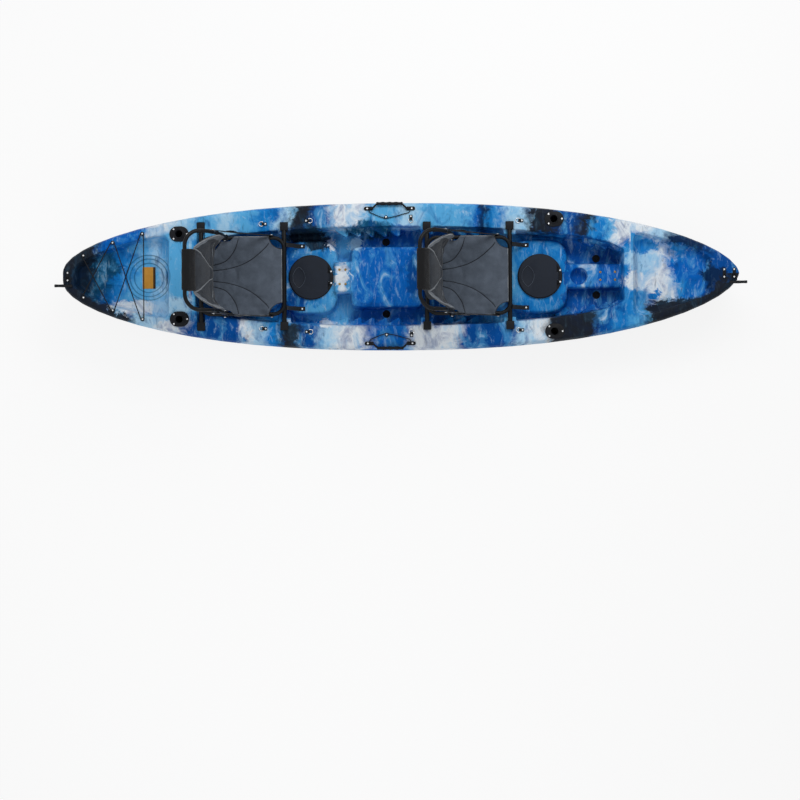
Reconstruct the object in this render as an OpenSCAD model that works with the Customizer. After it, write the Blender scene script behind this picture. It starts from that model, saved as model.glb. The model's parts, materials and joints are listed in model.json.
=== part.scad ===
// Two-seat sit-on-top fishing kayak: one hollow moulded hull with wells, hatches, rod holders,
// lifting handles and bungees, and two folding seats on tubes laid across the cockpit.
// The bow points along +X, port is +Y, and the keel rests on Z = 0.

/* [Hull] */
// Length of the hull from transom to stem
hull_len = 3800; // [3700:10:3900]
// Beam across the crease of the sides
beam = 840; // [820:5:870]
// Height of the deck edge amidships
deck_h = 300; // [290:5:315]
// Rise of the deck edge at the bow
bow_rise = 95; // [80:5:110]
// Rise of the deck edge at the stern
stern_rise = 90; // [75:5:105]
// Thickness of the moulded wall
wall = 5; // [4:0.5:6]
// Half-width of the blunt stern
stern_half_w = 45; // [40:1:55]
// Half-width of the stem
stem_half_w = 10; // [8:1:14]
// Half-width of the flat keel strip
keel_half_w = 70; // [50:5:90]

/* [Wells] */
// Height of the footwell floor
floor_z = 125; // [115:5:135]
// Height of the moulded seat floors
seat_floor_z = 165; // [155:5:175]
// Height of the tops that carry the hatches
pedestal_z = 205; // [200:1:212]
// Height of the bench between the seats
bench_z = 232; // [220:1:240]
// Height of the console behind the bench
console_z = 246; // [238:1:255]
// Height of the tankwell floor
tankwell_z = 268; // [262:1:280]
// Width of the cockpit's side deck, in from the crease
side_deck_w = 125; // [118:1:132]
// Width of the rim round the tankwell, in from the crease
tankwell_rim_w = 52; // [46:1:60]
// Radius of the cup holder
cup_r = 49; // [44:1:52]
// Depth of the cup holder
cup_depth = 62; // [40:1:75]
// Radius of a scupper hole
scupper_r = 15; // [12:0.5:18]

/* [Hatches] */
// Radius of a hatch lid
lid_r = 122; // [116:1:126]
// Clear radius of a hatch opening
hatch_r = 94; // [85:1:98]
// Thickness of a hatch lid
lid_t = 8; // [6:0.5:10]
// Height of the rim that a lid lies on
rim_t = 9; // [7:0.5:11]
// Radius of a hinge pin
hinge_pin_r = 2.5; // [2:0.1:3]

/* [Rod holders] */
// Radius of the bore that takes the rod's butt
rod_bore_r = 21.5; // [19:0.5:23]
// Depth of that bore
rod_bore_len = 150; // [120:5:160]
// Wall of the rod holder's tube
rod_wall = 3; // [2.5:0.5:4]

/* [Seats] */
// Radius of the tubes across the cockpit
bar_r = 13; // [11:0.5:14]
// Half-length of those tubes
bar_half_len = 305; // [302:1:308]
// Distance between a seat's two tubes
bar_spacing = 469; // [450:1:480]
// Radius of the frame tubes of a seat
tube_r = 11; // [9:0.5:12]
// Half-width between the side tubes of a seat
frame_half_w = 215; // [205:1:222]
// Radius of a backrest's pivot bolt
bolt_r = 4; // [3:0.5:5]
// Width of the seat webbing
web_w = 24; // [20:1:28]
// Thickness of the seat webbing
web_t = 2; // [1.6:0.2:2.4]

/* [Fittings] */
// Diameter of the tankwell's bungee
bungee_d = 6; // [5:0.5:7]
// Diameter of the paddle keepers and toggle cords
keeper_d = 5; // [4:0.5:6]
// Radius of a screw's pan head
screw_head_r = 4.6; // [4:0.2:5.2]
// Radius of a D-ring's wire
ring_wire_r = 2; // [1.6:0.1:2.4]
// Length of a carrying toggle
toggle_len = 100; // [90:5:120]
// Radius of the threaded bore in a deck insert
insert_bore_r = 3; // [2.5:0.1:3.5]

/* [Hidden] */

// Colours of the mouldings, metals and fabrics
blue = "royalblue";
black = [0.09, 0.09, 0.1];
steel = "silver";
fabric = [0.24, 0.25, 0.27];

// Play between a fitting's foot and the deck that it is screwed to
seat_gap = 0.6;
// Play between two rigid pieces that lie on each other
lie_gap = 0.3;
// Play of a pin or a bolt in its hole
pin_gap = 0.2;
// Fine and coarse arc steps
fine = 48;
coarse = 24;
$fn = fine;

half_len = hull_len / 2;
half_beam = beam / 2;
top_z = deck_h + bow_rise + 60;

// Shape of the hull: half-beam, deck edge, keel, chine and crease at a distance x from amidships
plan_power = 2.3;
plan_round = 0.6;
keel_rise = 250;
keel_power = 2.1;
stern_keel_x = 1250;
bow_keel_x = 1300;
chine_low_z = 115;
chine_low_x = -400;
chine_stern_rise = 135;
chine_bow_rise = 215;
crease_drop_mid = 70;
crease_drop_end = 32;
edge_round = 26;
function share(x) = min(1, abs(x) / half_len);
function tip_w(x) = x < 0 ? stern_half_w : stem_half_w;
function half_w(x) =
  tip_w(x) + (half_beam - tip_w(x)) * pow(1 - pow(share(x), plan_power), plan_round);
function deck_z(x) =
  deck_h + (x < 0 ? stern_rise * pow(share(x), 1.5) : bow_rise * pow(share(x), 6));
function deck_slope(x) = atan((deck_z(x + 1) - deck_z(x - 1)) / 2);
function keel_start(x) = x < 0 ? stern_keel_x : bow_keel_x;
function keel_z(x) =
  keel_rise * pow(max(0, abs(x) - keel_start(x)) / (half_len - keel_start(x)), keel_power);
function chine_z(x) = x < chine_low_x
  ? chine_low_z + chine_stern_rise * pow((chine_low_x - x) / (half_len + chine_low_x), 2)
  : chine_low_z + chine_bow_rise * pow((x - chine_low_x) / (half_len - chine_low_x), 2.4);
function crease_drop(x) =
  crease_drop_end + (crease_drop_mid - crease_drop_end) * (1 - pow(share(x), 2));

// Half of a cross-section from the keel to the middle of the deck, t inside the outer skin
function half_section(x, t) =
  let (b = half_w(x) - t,
       k = keel_z(x) + 1.3 * t,
       s = deck_z(x) - t,
       r = s - crease_drop(x) + t,
       c = min(max(chine_z(x), k + 12), r - 6),
       e = edge_round * min(1, b / 70),
       d = c - k)
  [[0, k], [min(keel_half_w, 0.3 * b), k], [0.44 * b, k + 0.15 * d], [0.6 * b, k + 0.06 * d],
   [0.72 * b, k + 0.12 * d], [0.86 * b, k + 0.5 * d], [0.95 * b, c], [b, r],
   [b - 0.35 * e, s - 0.6 * e], [b - 0.62 * e, s - 0.18 * e], [b - e, s], [0, s]];
function section(x, t) =
  let (h = half_section(x, t), n = len(h))
  concat([for (p = h) [x, -p[0], p[1]]], [for (i = [n - 2 : -1 : 1]) [x, h[i][0], h[i][1]]]);

// Closed skin over rings of points that run clockwise seen from the last ring's end
function skin_faces(rings, count) = concat(
  [for (i = [0 : rings - 2], j = [0 : count - 1])
    [i * count + j, (i + 1) * count + (j + 1) % count, (i + 1) * count + j]],
  [for (i = [0 : rings - 2], j = [0 : count - 1])
    [i * count + j, i * count + (j + 1) % count, (i + 1) * count + (j + 1) % count]],
  [[for (j = [count - 1 : -1 : 0]) j]],
  [[for (j = [0 : count - 1]) (rings - 1) * count + j]]);
module skin(rings) {
  polyhedron([for (r = rings) each r], skin_faces(len(rings), len(rings[0])), convexity = 6);
}
hull_stations = 28;
module hull_loft(t) {
  skin([for (i = [0 : hull_stations])
    section((half_len - 2.5 * t) * sin(180 * i / hull_stations - 90), t)]);
}

// Round tube of diameter d swept along a route of points
function unit(v) = v / norm(v);
function heading(route, i) =
  unit(route[min(i + 1, len(route) - 1)] - route[max(i - 1, 0)]);
module cord(route, d, sides = 8) {
  skin([for (i = [0 : len(route) - 1])
    let (h = heading(route, i),
         a = unit(cross(h, abs(h[2]) > 0.9 ? [1, 0, 0] : [0, 0, 1])),
         b = cross(h, a))
    [for (k = [0 : sides - 1])
      route[i] + d / 2 * (cos(360 * k / sides) * a - sin(360 * k / sides) * b)]]);
}

// Soft panel between two grids of points: upper and lower, or rear and front of a standing one
module panel(upper, lower) {
  rows = len(upper);
  cols = len(upper[0]);
  ring = [for (i = [0 : rows - 1]) concat(upper[i], [for (j = [cols - 1 : -1 : 0]) lower[i][j]])];
  skin(ring);
}

// Both sides of the boat
module both_sides() {
  children();
  mirror([0, 1, 0]) children();
}
module on_side(side) {
  mirror([0, side == "port" ? 0 : 1, 0]) children();
}
// A fitting's foot on the sloping deck edge
module on_deck(x, y) {
  translate([x, y, deck_z(x) + seat_gap]) rotate([0, -deck_slope(x), 0]) children();
}

// Cockpit, tankwell and bow well
cockpit_x = [-1180, 1285];
tankwell_x = [-half_len + 48, -half_len + 609];
bow_well_x = [half_len - 595, half_len - 100];
bow_rim_w = 46;
bow_well_z = 235;
wall_draft = 26;
wall_round = 14;
end_power = 12;
outline_steps = 12;
corner_steps = 3;
// Outline that keeps a distance from the crease between two ends, with eased corners
function plan_ring(x, inset, z) =
  let (mid = (x[0] + x[1]) / 2, reach = (x[1] - x[0]) / 2)
  [for (i = [0 : 2 * outline_steps - 1])
    let (a = 180 * (i + 0.5) / outline_steps,
         s = -cos(a),
         y = half_w(mid + s * reach) - inset)
    [mid + s * reach, -sign(sin(a)) * y * pow(1 - pow(abs(s), end_power), 1 / end_power), z]];
// Rectangle with round corners
function block_ring(x, half, r, z) =
  [for (q = [[x[0] + r, -half + r, 180], [x[1] - r, -half + r, 270],
             [x[1] - r, half - r, 0], [x[0] + r, half - r, 90]],
        i = [0 : corner_steps])
    let (a = q[2] + 90 * i / corner_steps)
    [q[0] + r * cos(a), q[1] + r * sin(a), z]];
function grown(x, g) = [x[0] - g, x[1] + g];
// A well with drafted walls and an eased foot, grown by g for the inside of its moulded wall
module well(x, inset, z, g) {
  hull() skin([
    plan_ring(grown(x, g - wall_draft - wall_round), inset + wall_draft + wall_round - g, z - g),
    plan_ring(grown(x, g - wall_draft), inset + wall_draft - g, z - g + wall_round),
    plan_ring(grown(x, g), inset - g, top_z)]);
}
// A raised block in the cockpit, shrunk by g for the inside of its moulded wall
block_draft = 10;
block_ease = 8;
module block(x, half, z, r, g) {
  hull() skin([
    block_ring(grown(x, block_draft - g), half + block_draft - g, r, floor_z - 2 * wall),
    block_ring(grown(x, -g), half - g, r, z - g - block_ease),
    block_ring(grown(x, -g - block_ease), half - g - block_ease, r, z - g)]);
}

// Raised parts of the cockpit: [aft end, fore end], half-width, height, corner radius
aft_pedestal_x = [-665, -362];
front_pedestal_x = [618, 945];
console_x = [-378, -286];
bench_x = [-281, 129];
bench_step_x = -55;
bench_step = 9;
bow_console_x = [900, 1276];
pedestal_half_w = 205;
console_half_w = 85;
bench_half_w = 170;
bow_console_half_w = 68;
aft_seat_floor_x = [-1200, -700];
front_seat_floor_x = [165, 600];
seat_floor_half_w = 180;

// Footrests moulded as saw teeth along the cockpit's walls: first tooth, count
footrest_pitch = 74;
footrest_depth = 38;
footrest_drop = 60;
footrests = [[-372, 5], [222, 3], [1030, 3]];
module footrest_teeth(g) {
  for (f = footrests, i = [0 : f[1] - 1]) {
    x = f[0] + i * footrest_pitch;
    y = half_w(x + footrest_pitch / 2) - side_deck_w - wall_draft;
    both_sides()
      translate([0, 0, floor_z - 2 * wall])
        linear_extrude(deck_h - footrest_drop - floor_z + 2 * wall - g)
          offset(delta = -g)
            polygon([[x, y + 60], [x, y], [x + footrest_pitch - 14, y - footrest_depth],
                     [x + footrest_pitch, y - footrest_depth + 8],
                     [x + footrest_pitch, y + 60]]);
  }
}

// Seat tubes: their places along the boat and their heights, and the notches that take their ends
aft_seat_x = -893.5;
front_seat_x = 381.5;
aft_seat_z = 329;
front_seat_z = 306;
end_block = [44, 46, 28];
ledge_half_len = 34;
ledge_reach = 24;
seat_places = [[aft_seat_x, aft_seat_z], [front_seat_x, front_seat_z]];
module at_bar_ends() {
  for (s = seat_places, e = [-1, 1])
    translate([s[0] + e * bar_spacing / 2, 0, s[1]])
      both_sides() translate([0, bar_half_len - end_block[1] / 2, 0]) children();
}
module bar_notches(g) {
  at_bar_ends()
    translate([-end_block[0] / 2 - lie_gap - g, -2.5 * end_block[1], -end_block[2] / 2 - lie_gap - g])
      cube([end_block[0] + 2 * lie_gap + 2 * g, 3 * end_block[1] + lie_gap + g, 120]);
}
module bar_ledges(g) {
  at_bar_ends()
    translate([-ledge_half_len + g, -end_block[1] / 2 - ledge_reach + g, -end_block[2] / 2 - 70 + g])
      cube([2 * (ledge_half_len - g), 100, 70 - lie_gap - 2 * g]);
}

// Hatches, scuppers, cup holder, inserts and rod holders
aft_hatch_x = -512;
front_hatch_x = 791;
hatch_play = 3;
hatch_collar_t = 5;
aft_scupper = [-84, 206];
bow_scupper = [1118, 104];
scuppers = [aft_scupper, bow_scupper];
cup_x = 1014;
aft_insert_x = -332;
bow_insert_x = 1178;
aft_insert_grid = [34, 82];
bow_insert_grid = [84, 44];
insert_r = insert_bore_r + 3;
insert_len = 14;
module at_inserts() {
  for (p = [[aft_insert_x, aft_insert_grid, console_z], [bow_insert_x, bow_insert_grid, pedestal_z]],
       i = [-1, 1], j = [-1, 1])
    translate([p[0] + i * p[1][0] / 2, j * p[1][1] / 2, p[2]]) children();
}
aft_rod_x = -half_len + 650;
front_rod_x = 868;
aft_rod = [aft_rod_x, half_w(aft_rod_x) - 86];
front_rod = [front_rod_x, half_w(front_rod_x) - 60];
rod_lean_aft = 12;
rod_lean_out = 9;
rod_tube_r = rod_bore_r + rod_wall;
module at_rod_holder(p) {
  on_deck(p[0], p[1]) children();
}
module rod_axis() {
  rotate([-rod_lean_out, -rod_lean_aft, 0]) children();
}
paddle_notch_x = -half_len + 542;
paddle_notch_r = 22;

// Round stepped recess and drain ribs in the tankwell floor
recess_x = -half_len + 470;
recess_steps = [128, 107, 83];
recess_step = 6;
rib_h = 9;
rib_r = 5;
drain_ribs = [[-half_len + 240, 45], [-half_len + 232, -28]];
rib_len = 96;
rib_gap = 24;
module recess(g) {
  // Inside the wall the steps are bridged, as the plastic does in the mould
  depth = recess_step * len(recess_steps);
  for (i = [0 : g > 0 ? 0 : len(recess_steps) - 1]) {
    down = g > 0 ? depth : recess_step * (i + 1);
    translate([recess_x, 0, tankwell_z - down - g])
      cylinder(r = recess_steps[i] + g, h = down + 2 * g + 1, $fn = 24);
  }
}
module tankwell_ribs() {
  for (p = drain_ribs, e = [-1, 1])
    hull() for (x = [0, rib_len])
      translate([p[0] + x, p[1] + e * rib_gap / 2 * (x == 0 ? 0.4 : 1), tankwell_z - 2 * wall])
        cylinder(r1 = rib_r + 1, r2 = rib_r - 1.5, h = 2 * wall + rib_h, $fn = 8);
}

// Everything that is hollowed from above, grown by g for the inside of the moulded walls
module hollows(g) {
  difference() {
    well(cockpit_x, side_deck_w, floor_z, g);
    block(aft_pedestal_x, pedestal_half_w, pedestal_z, 90, g);
    block(front_pedestal_x, pedestal_half_w, pedestal_z, 90, g);
    block(console_x, console_half_w, console_z, 14, g);
    block(bench_x, bench_half_w, bench_z - bench_step, 40, g);
    block([bench_x[0], bench_step_x], bench_half_w - 12, bench_z, 70, g);
    block(bow_console_x, bow_console_half_w, pedestal_z, 30, g);
    block(aft_seat_floor_x, seat_floor_half_w, seat_floor_z, 50, g);
    block(front_seat_floor_x, seat_floor_half_w, seat_floor_z, 50, g);
    footrest_teeth(g);
    bar_ledges(g);
  }
  difference() {
    well(tankwell_x, tankwell_rim_w, tankwell_z, g);
    if (g == 0) tankwell_ribs();
  }
  recess(g);
  hull() skin([
    plan_ring([bow_well_x[0] + 40 - g, bow_well_x[0] + 250 + g], bow_rim_w + 62 - g, bow_well_z - g),
    plan_ring([bow_well_x[0] + 8 - g, bow_well_x[1] - 80 + g], bow_rim_w + 12 - g, deck_h + 6 - g),
    plan_ring(grown(bow_well_x, g), bow_rim_w - g, top_z)]);
  bar_notches(g);
  for (s = scuppers) both_sides()
    translate([s[0], s[1], -20]) cylinder(r = scupper_r + g, h = floor_z + 40, $fn = 12);
  translate([cup_x, 0, pedestal_z - cup_depth - g])
    cylinder(r1 = cup_r - 4 + g, r2 = cup_r + g, h = cup_depth + g + 1, $fn = 24);
  at_inserts() translate([0, 0, -insert_len - lie_gap - g])
    cylinder(r = (insert_r + 2 * lie_gap + g) / cos(30), h = insert_len + g + 40, $fn = 6);
  translate([paddle_notch_x, 0, deck_z(paddle_notch_x)]) rotate([90, 0, 0])
    cylinder(r = paddle_notch_r + g, h = beam, center = true, $fn = 12);
}

// The moulding is drawn as ten lengths, end to end
length_joints = [-1205, -710, aft_hatch_x, -270, 195, 560, front_hatch_x, 920, 1295];
length_gap = 0.2;
module hull_shell() {
  color(blue) difference() {
    hull_loft(0);
    hollows(0);
    difference() {
      hull_loft(wall);
      hollows(wall);
    }
    for (x = [aft_hatch_x, front_hatch_x])
      translate([x, 0, pedestal_z - 40])
        cylinder(r = hatch_r + hatch_collar_t + hatch_play, h = 80, $fn = 32);
    for (p = [aft_rod, front_rod]) both_sides() at_rod_holder(p) rod_axis()
      translate([0, 0, -20]) cylinder(r = rod_tube_r + 1.2, h = 40, $fn = 16);
    for (x = length_joints) translate([x - length_gap / 2, -beam, -50])
      cube([length_gap, 2 * beam, top_z + 100]);
  }
}

// Pan-head screw with its shank down through a fitting of thickness t
screw_head_t = 2.6;
screw_shank_r = 2.2;
screw_hole_r = screw_shank_r + 0.4;
module screw(t) {
  translate([0, 0, t + 0.1]) difference() {
    cylinder(r = screw_head_r, h = screw_head_t, $fn = coarse);
    translate([0, 0, screw_head_t - 0.9]) cylinder(r = screw_head_r / 2, h = 2, $fn = 6);
  }
  translate([0, 0, 0.2]) cylinder(r = screw_shank_r, h = t, $fn = coarse);
}
// Flat foot with round ends, long way along Y
module foot(len_x, len_y, t) {
  linear_extrude(t) {
    square([len_x, len_y - len_x], center = true);
    for (e = [-1, 1]) translate([0, e * (len_y - len_x) / 2]) circle(d = len_x);
  }
}
// Round bar between two points
module rod(p, q, r) {
  d = q - p;
  translate(p) rotate([0, acos(d[2] / norm(d)), atan2(d[1], d[0])]) cylinder(r = r, h = norm(d));
}

// Hatches: a screwed rim, a lid that lies on it, a seal between them and a pin across the bow side
rim_reach = 5;
rim_r = lid_r + rim_reach;
seal_r = lid_r - 12;
seal_half_w = 2.2;
collar_depth = 24;
hinge_off = lid_r - 20;
hinge_half_len = 42;
knuckle_r = 5;
knuckle_half_len = 23;
hinge_z = rim_t + lie_gap + lid_t / 2;
hinge_screw_half_gap = 33;
module at_hatch(x) {
  translate([x, 0, pedestal_z + lie_gap]) children();
}
module at_hinge_screws() {
  for (e = [-1, 1]) translate([hinge_off + 13, e * hinge_screw_half_gap, 0]) children();
}
module hatch_rim(x) {
  color(black) at_hatch(x) difference() {
    union() {
      rotate_extrude() {
        translate([hatch_r, 0]) square([rim_r - hatch_r, rim_t]);
        translate([hatch_r, -collar_depth]) square([hatch_collar_t, collar_depth + 1]);
      }
      intersection() {
        translate([hinge_off + knuckle_r + 1, -hinge_half_len, rim_t - 1])
          cube([rim_r, 2 * hinge_half_len, lid_t + lie_gap + 1]);
        cylinder(r = rim_r, h = 60);
      }
      for (e = [-1, 1]) translate([hinge_off, e * (hinge_half_len + knuckle_half_len + 1) / 2, 0]) {
        ear = hinge_half_len - knuckle_half_len - 1;
        translate([0, 0, hinge_z]) rotate([90, 0, 0])
          cylinder(r = knuckle_r, h = ear, center = true);
        translate([-knuckle_r, -ear / 2, rim_t - 1])
          cube([2 * knuckle_r + 2, ear, hinge_z - rim_t + 1]);
      }
    }
    translate([0, 0, rim_t - 2.5]) rotate_extrude()
      translate([seal_r - seal_half_w - lie_gap, 0]) square([2 * seal_half_w + 2 * lie_gap, 2.6]);
    translate([hinge_off, 0, hinge_z]) rotate([90, 0, 0])
      cylinder(r = hinge_pin_r + pin_gap, h = 4 * hinge_half_len, center = true);
    translate([hinge_off, 0, hinge_z]) rotate([90, 0, 0])
      cylinder(r = knuckle_r + 1, h = 2 * knuckle_half_len + 2, center = true);
    at_hinge_screws() translate([0, 0, -1]) cylinder(r = screw_hole_r, h = 60);
  }
}
finger_r = 67;
finger_half_w = 35;
finger_depth = 4.5;
module hatch_lid(x) {
  color(black) at_hatch(x) difference() {
    union() {
      difference() {
        translate([0, 0, rim_t + lie_gap]) rotate_extrude() {
          square([lid_r - 2, lid_t]);
          square([lid_r, lid_t - 2]);
          translate([lid_r - 2, lid_t - 2]) intersection() {
            circle(r = 2);
            square(4);
          }
          translate([hatch_r - 5, -9]) square([4, 10]);
        }
        translate([hinge_off - knuckle_r - 2, -lid_r, -20]) cube([lid_r, 2 * lid_r, 60]);
      }
      translate([hinge_off, 0, hinge_z]) rotate([90, 0, 0])
        cylinder(r = knuckle_r, h = 2 * knuckle_half_len, center = true);
      translate([hinge_off - 12, -knuckle_half_len, hinge_z - lid_t / 2 + 0.5])
        cube([12, 2 * knuckle_half_len, lid_t - 1]);
    }
    translate([hinge_off, 0, hinge_z]) rotate([90, 0, 0])
      cylinder(r = hinge_pin_r + pin_gap, h = 4 * hinge_half_len, center = true);
    translate([-lid_r * 0.56, 0, rim_t + lie_gap + lid_t - finger_depth]) intersection() {
      translate([finger_half_w - finger_r, 0, 0]) cylinder(r = finger_r, h = 20);
      translate([finger_r - finger_half_w, 0, 0]) cylinder(r = finger_r, h = 20);
    }
  }
}
module aft_hatch_rim() { hatch_rim(aft_hatch_x); }
module front_hatch_rim() { hatch_rim(front_hatch_x); }
module aft_hatch_lid() { hatch_lid(aft_hatch_x); }
module front_hatch_lid() { hatch_lid(front_hatch_x); }
module hatch_seals() {
  color("dimgray") for (x = [aft_hatch_x, front_hatch_x]) at_hatch(x)
    translate([0, 0, rim_t - 2.4]) rotate_extrude()
      translate([seal_r - seal_half_w, 0]) square([2 * seal_half_w, 2.5]);
}
module hatch_hinge_pins() {
  color(steel) for (x = [aft_hatch_x, front_hatch_x]) at_hatch(x)
    translate([hinge_off, 0, hinge_z]) rotate([90, 0, 0])
      cylinder(r = hinge_pin_r, h = 2 * hinge_half_len, center = true);
}

// Rod holders: an oval flange on the deck and a leaning tube with a closed foot
flange_r = 43;
flange_shift = 11;
flange_t = 5;
rod_lip = 9;
rod_screws = [[44, 0], [-31, 27], [-31, -27]];
module rod_holder(p) {
  color(black) at_rod_holder(p) difference() {
    union() {
      linear_extrude(flange_t) {
        for (e = [-1, 1]) translate([e * flange_shift, 0]) circle(r = flange_r);
        square([2 * flange_shift, 2 * flange_r], center = true);
      }
      rod_axis() translate([0, 0, -rod_bore_len]) cylinder(r = rod_tube_r, h = rod_bore_len + rod_lip);
    }
    rod_axis() translate([0, 0, rod_lip - rod_bore_len]) cylinder(r = rod_bore_r, h = rod_bore_len + 20);
    for (s = rod_screws) translate([s[0], s[1], -1]) cylinder(r = screw_hole_r, h = 2 * flange_t);
  }
}
module aft_rod_holder_port() { on_side("port") rod_holder(aft_rod); }
module aft_rod_holder_starboard() { on_side("starboard") rod_holder(aft_rod); }
module front_rod_holder_port() { on_side("port") rod_holder(front_rod); }
module front_rod_holder_starboard() { on_side("starboard") rod_holder(front_rod); }

// Scupper plugs: a stem in the hole, a flange on the floor and a knob to pull
plug_flange = 7;
plug_len = 32;
plug_play = 1;
module scupper_plug(p) {
  color(black) translate([p[0], p[1], floor_z + lie_gap]) rotate_extrude() polygon([
    [0, -plug_len], [scupper_r - plug_play - 2, -plug_len], [scupper_r - plug_play - 0.6, 0],
    [scupper_r + plug_flange, 0], [scupper_r + plug_flange, 3], [scupper_r - 4, 5],
    [5, 5], [4, 9], [7, 12], [6, 15], [0, 15]]);
}
module aft_scupper_plug_port() { on_side("port") scupper_plug(aft_scupper); }
module aft_scupper_plug_starboard() { on_side("starboard") scupper_plug(aft_scupper); }
module bow_scupper_plug_port() { on_side("port") scupper_plug(bow_scupper); }
module bow_scupper_plug_starboard() { on_side("starboard") scupper_plug(bow_scupper); }

// Threaded brass inserts of the two accessory pads, and the plate in the tankwell
module accessory_inserts() {
  color("goldenrod") at_inserts() translate([0, 0, -insert_len]) difference() {
    union() {
      cylinder(r = insert_r, h = insert_len);
      cylinder(r = insert_r - 1, h = insert_len + 0.8);
    }
    translate([0, 0, 2]) cylinder(r = insert_bore_r, h = insert_len);
  }
}
plate_size = [73, 123, 2];
module tankwell_plate() {
  color("burlywood")
    translate([recess_x, 0, tankwell_z - recess_step * len(recess_steps) + lie_gap + plate_size[2] / 2])
      cube(plate_size, center = true);
}

// Side carrying handles: two screwed lugs with pins, and an arched grip that lifts
handle_x = -63;
handle_in = 38;
eye_off = 98;
eye_half_len = 7;
eye_r = 6.5;
pin_r = 3;
lug_t = 5;
cheek_t = 5;
lug_screw_off = 126;
handle_axis_z = 12;
grip_r = 9;
grip_half_len = 70;
grip_reach = 27;
// The line between its two feet carries a handle
handle_foot_off = (eye_off + lug_screw_off + 12) / 2;
handle_fore_z = deck_z(handle_x + handle_foot_off);
handle_aft_z = deck_z(handle_x - handle_foot_off);
module at_handle() {
  translate([handle_x, half_w(handle_x) - handle_in, (handle_fore_z + handle_aft_z) / 2 + seat_gap])
    rotate([0, -atan((handle_fore_z - handle_aft_z) / 2 / handle_foot_off), 0]) children();
}
module handle_lug() {
  difference() {
    union() {
      translate([handle_foot_off, 0, 0]) rotate(90)
        foot(22, lug_screw_off + 12 - eye_off + 14, lug_t);
      translate([eye_off + eye_half_len + 0.5, -9, 0]) cube([cheek_t, 18, handle_axis_z]);
      translate([eye_off + eye_half_len + 0.5, 0, handle_axis_z]) rotate([0, 90, 0])
        cylinder(r = 9, h = cheek_t);
      translate([eye_off - eye_half_len, 0, handle_axis_z]) rotate([0, 90, 0])
        cylinder(r = pin_r, h = 2 * eye_half_len + cheek_t);
    }
    translate([lug_screw_off, 0, -1]) cylinder(r = screw_hole_r, h = 20);
  }
}
module handle_lugs() {
  color(black) both_sides() at_handle() {
    handle_lug();
    mirror([1, 0, 0]) handle_lug();
  }
}
module carry_handle() {
  color(black) at_handle() translate([0, 0, handle_axis_z]) {
    for (e = [-1, 1]) difference() {
      union() {
        translate([e * eye_off, 0, 0]) rotate([0, 90, 0])
          cylinder(r = eye_r, h = 2 * eye_half_len - 0.6, center = true);
        rod([e * eye_off, 0, 0], [e * grip_half_len, grip_reach, 0], 5);
      }
      translate([e * eye_off, 0, 0]) rotate([0, 90, 0])
        cylinder(r = pin_r + pin_gap, h = 60, center = true);
    }
    translate([0, grip_reach, 0]) rotate([0, 90, 0]) rotate_extrude() polygon(concat(
      [[0, -grip_half_len - 5]],
      [for (i = [-14 : 14]) [grip_r + 1.2 * cos(i * 180 / 3.5) - (abs(i) == 14 ? 3 : 0),
                              i * (grip_half_len + 5) / 14]],
      [[0, grip_half_len + 5]]));
  }
}
module port_carry_handle() { on_side("port") carry_handle(); }
module starboard_carry_handle() { on_side("starboard") carry_handle(); }

// Paddle keepers: a knob inboard of each handle and a bungee from lug to lug round it
knob_at = [-83, 333];
knob_neck_r = 4;
module paddle_knobs() {
  color(black) both_sides() on_deck(knob_at[0], knob_at[1]) difference() {
    rotate_extrude() polygon([[0, 0], [10, 0], [10, 3], [knob_neck_r, 4], [knob_neck_r, 10], [8, 12],
                              [7, 15], [0, 15]]);
    translate([0, 0, -1]) cylinder(r = screw_hole_r, h = 30);
  }
}
keeper_z = 7;
keeper_y = half_w(handle_x) - handle_in;
keeper_wrap = knob_neck_r + keeper_d / 2 + lie_gap;
keeper_route = [
  [handle_x - eye_off - 20, keeper_y - 11.8], [handle_x - eye_off - 12, keeper_y - 22],
  [handle_x - 84, 348], [handle_x - 58, 337], [knob_at[0] - 14, knob_at[1] - keeper_wrap + 3],
  [knob_at[0] - 5, knob_at[1] - keeper_wrap - 0.3], [knob_at[0] + 5, knob_at[1] - keeper_wrap - 0.3],
  [knob_at[0] + 14, knob_at[1] - keeper_wrap + 3], [handle_x + 34, 337], [handle_x + 74, 349],
  [handle_x + eye_off + 12, keeper_y - 22], [handle_x + eye_off + 20, keeper_y - 11.8]];
module paddle_bungee() {
  color(black) cord([for (p = keeper_route) [p[0], p[1], deck_z(p[0]) + keeper_z]], keeper_d);
}
module port_paddle_bungee() { on_side("port") paddle_bungee(); }
module starboard_paddle_bungee() { on_side("starboard") paddle_bungee(); }

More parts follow.
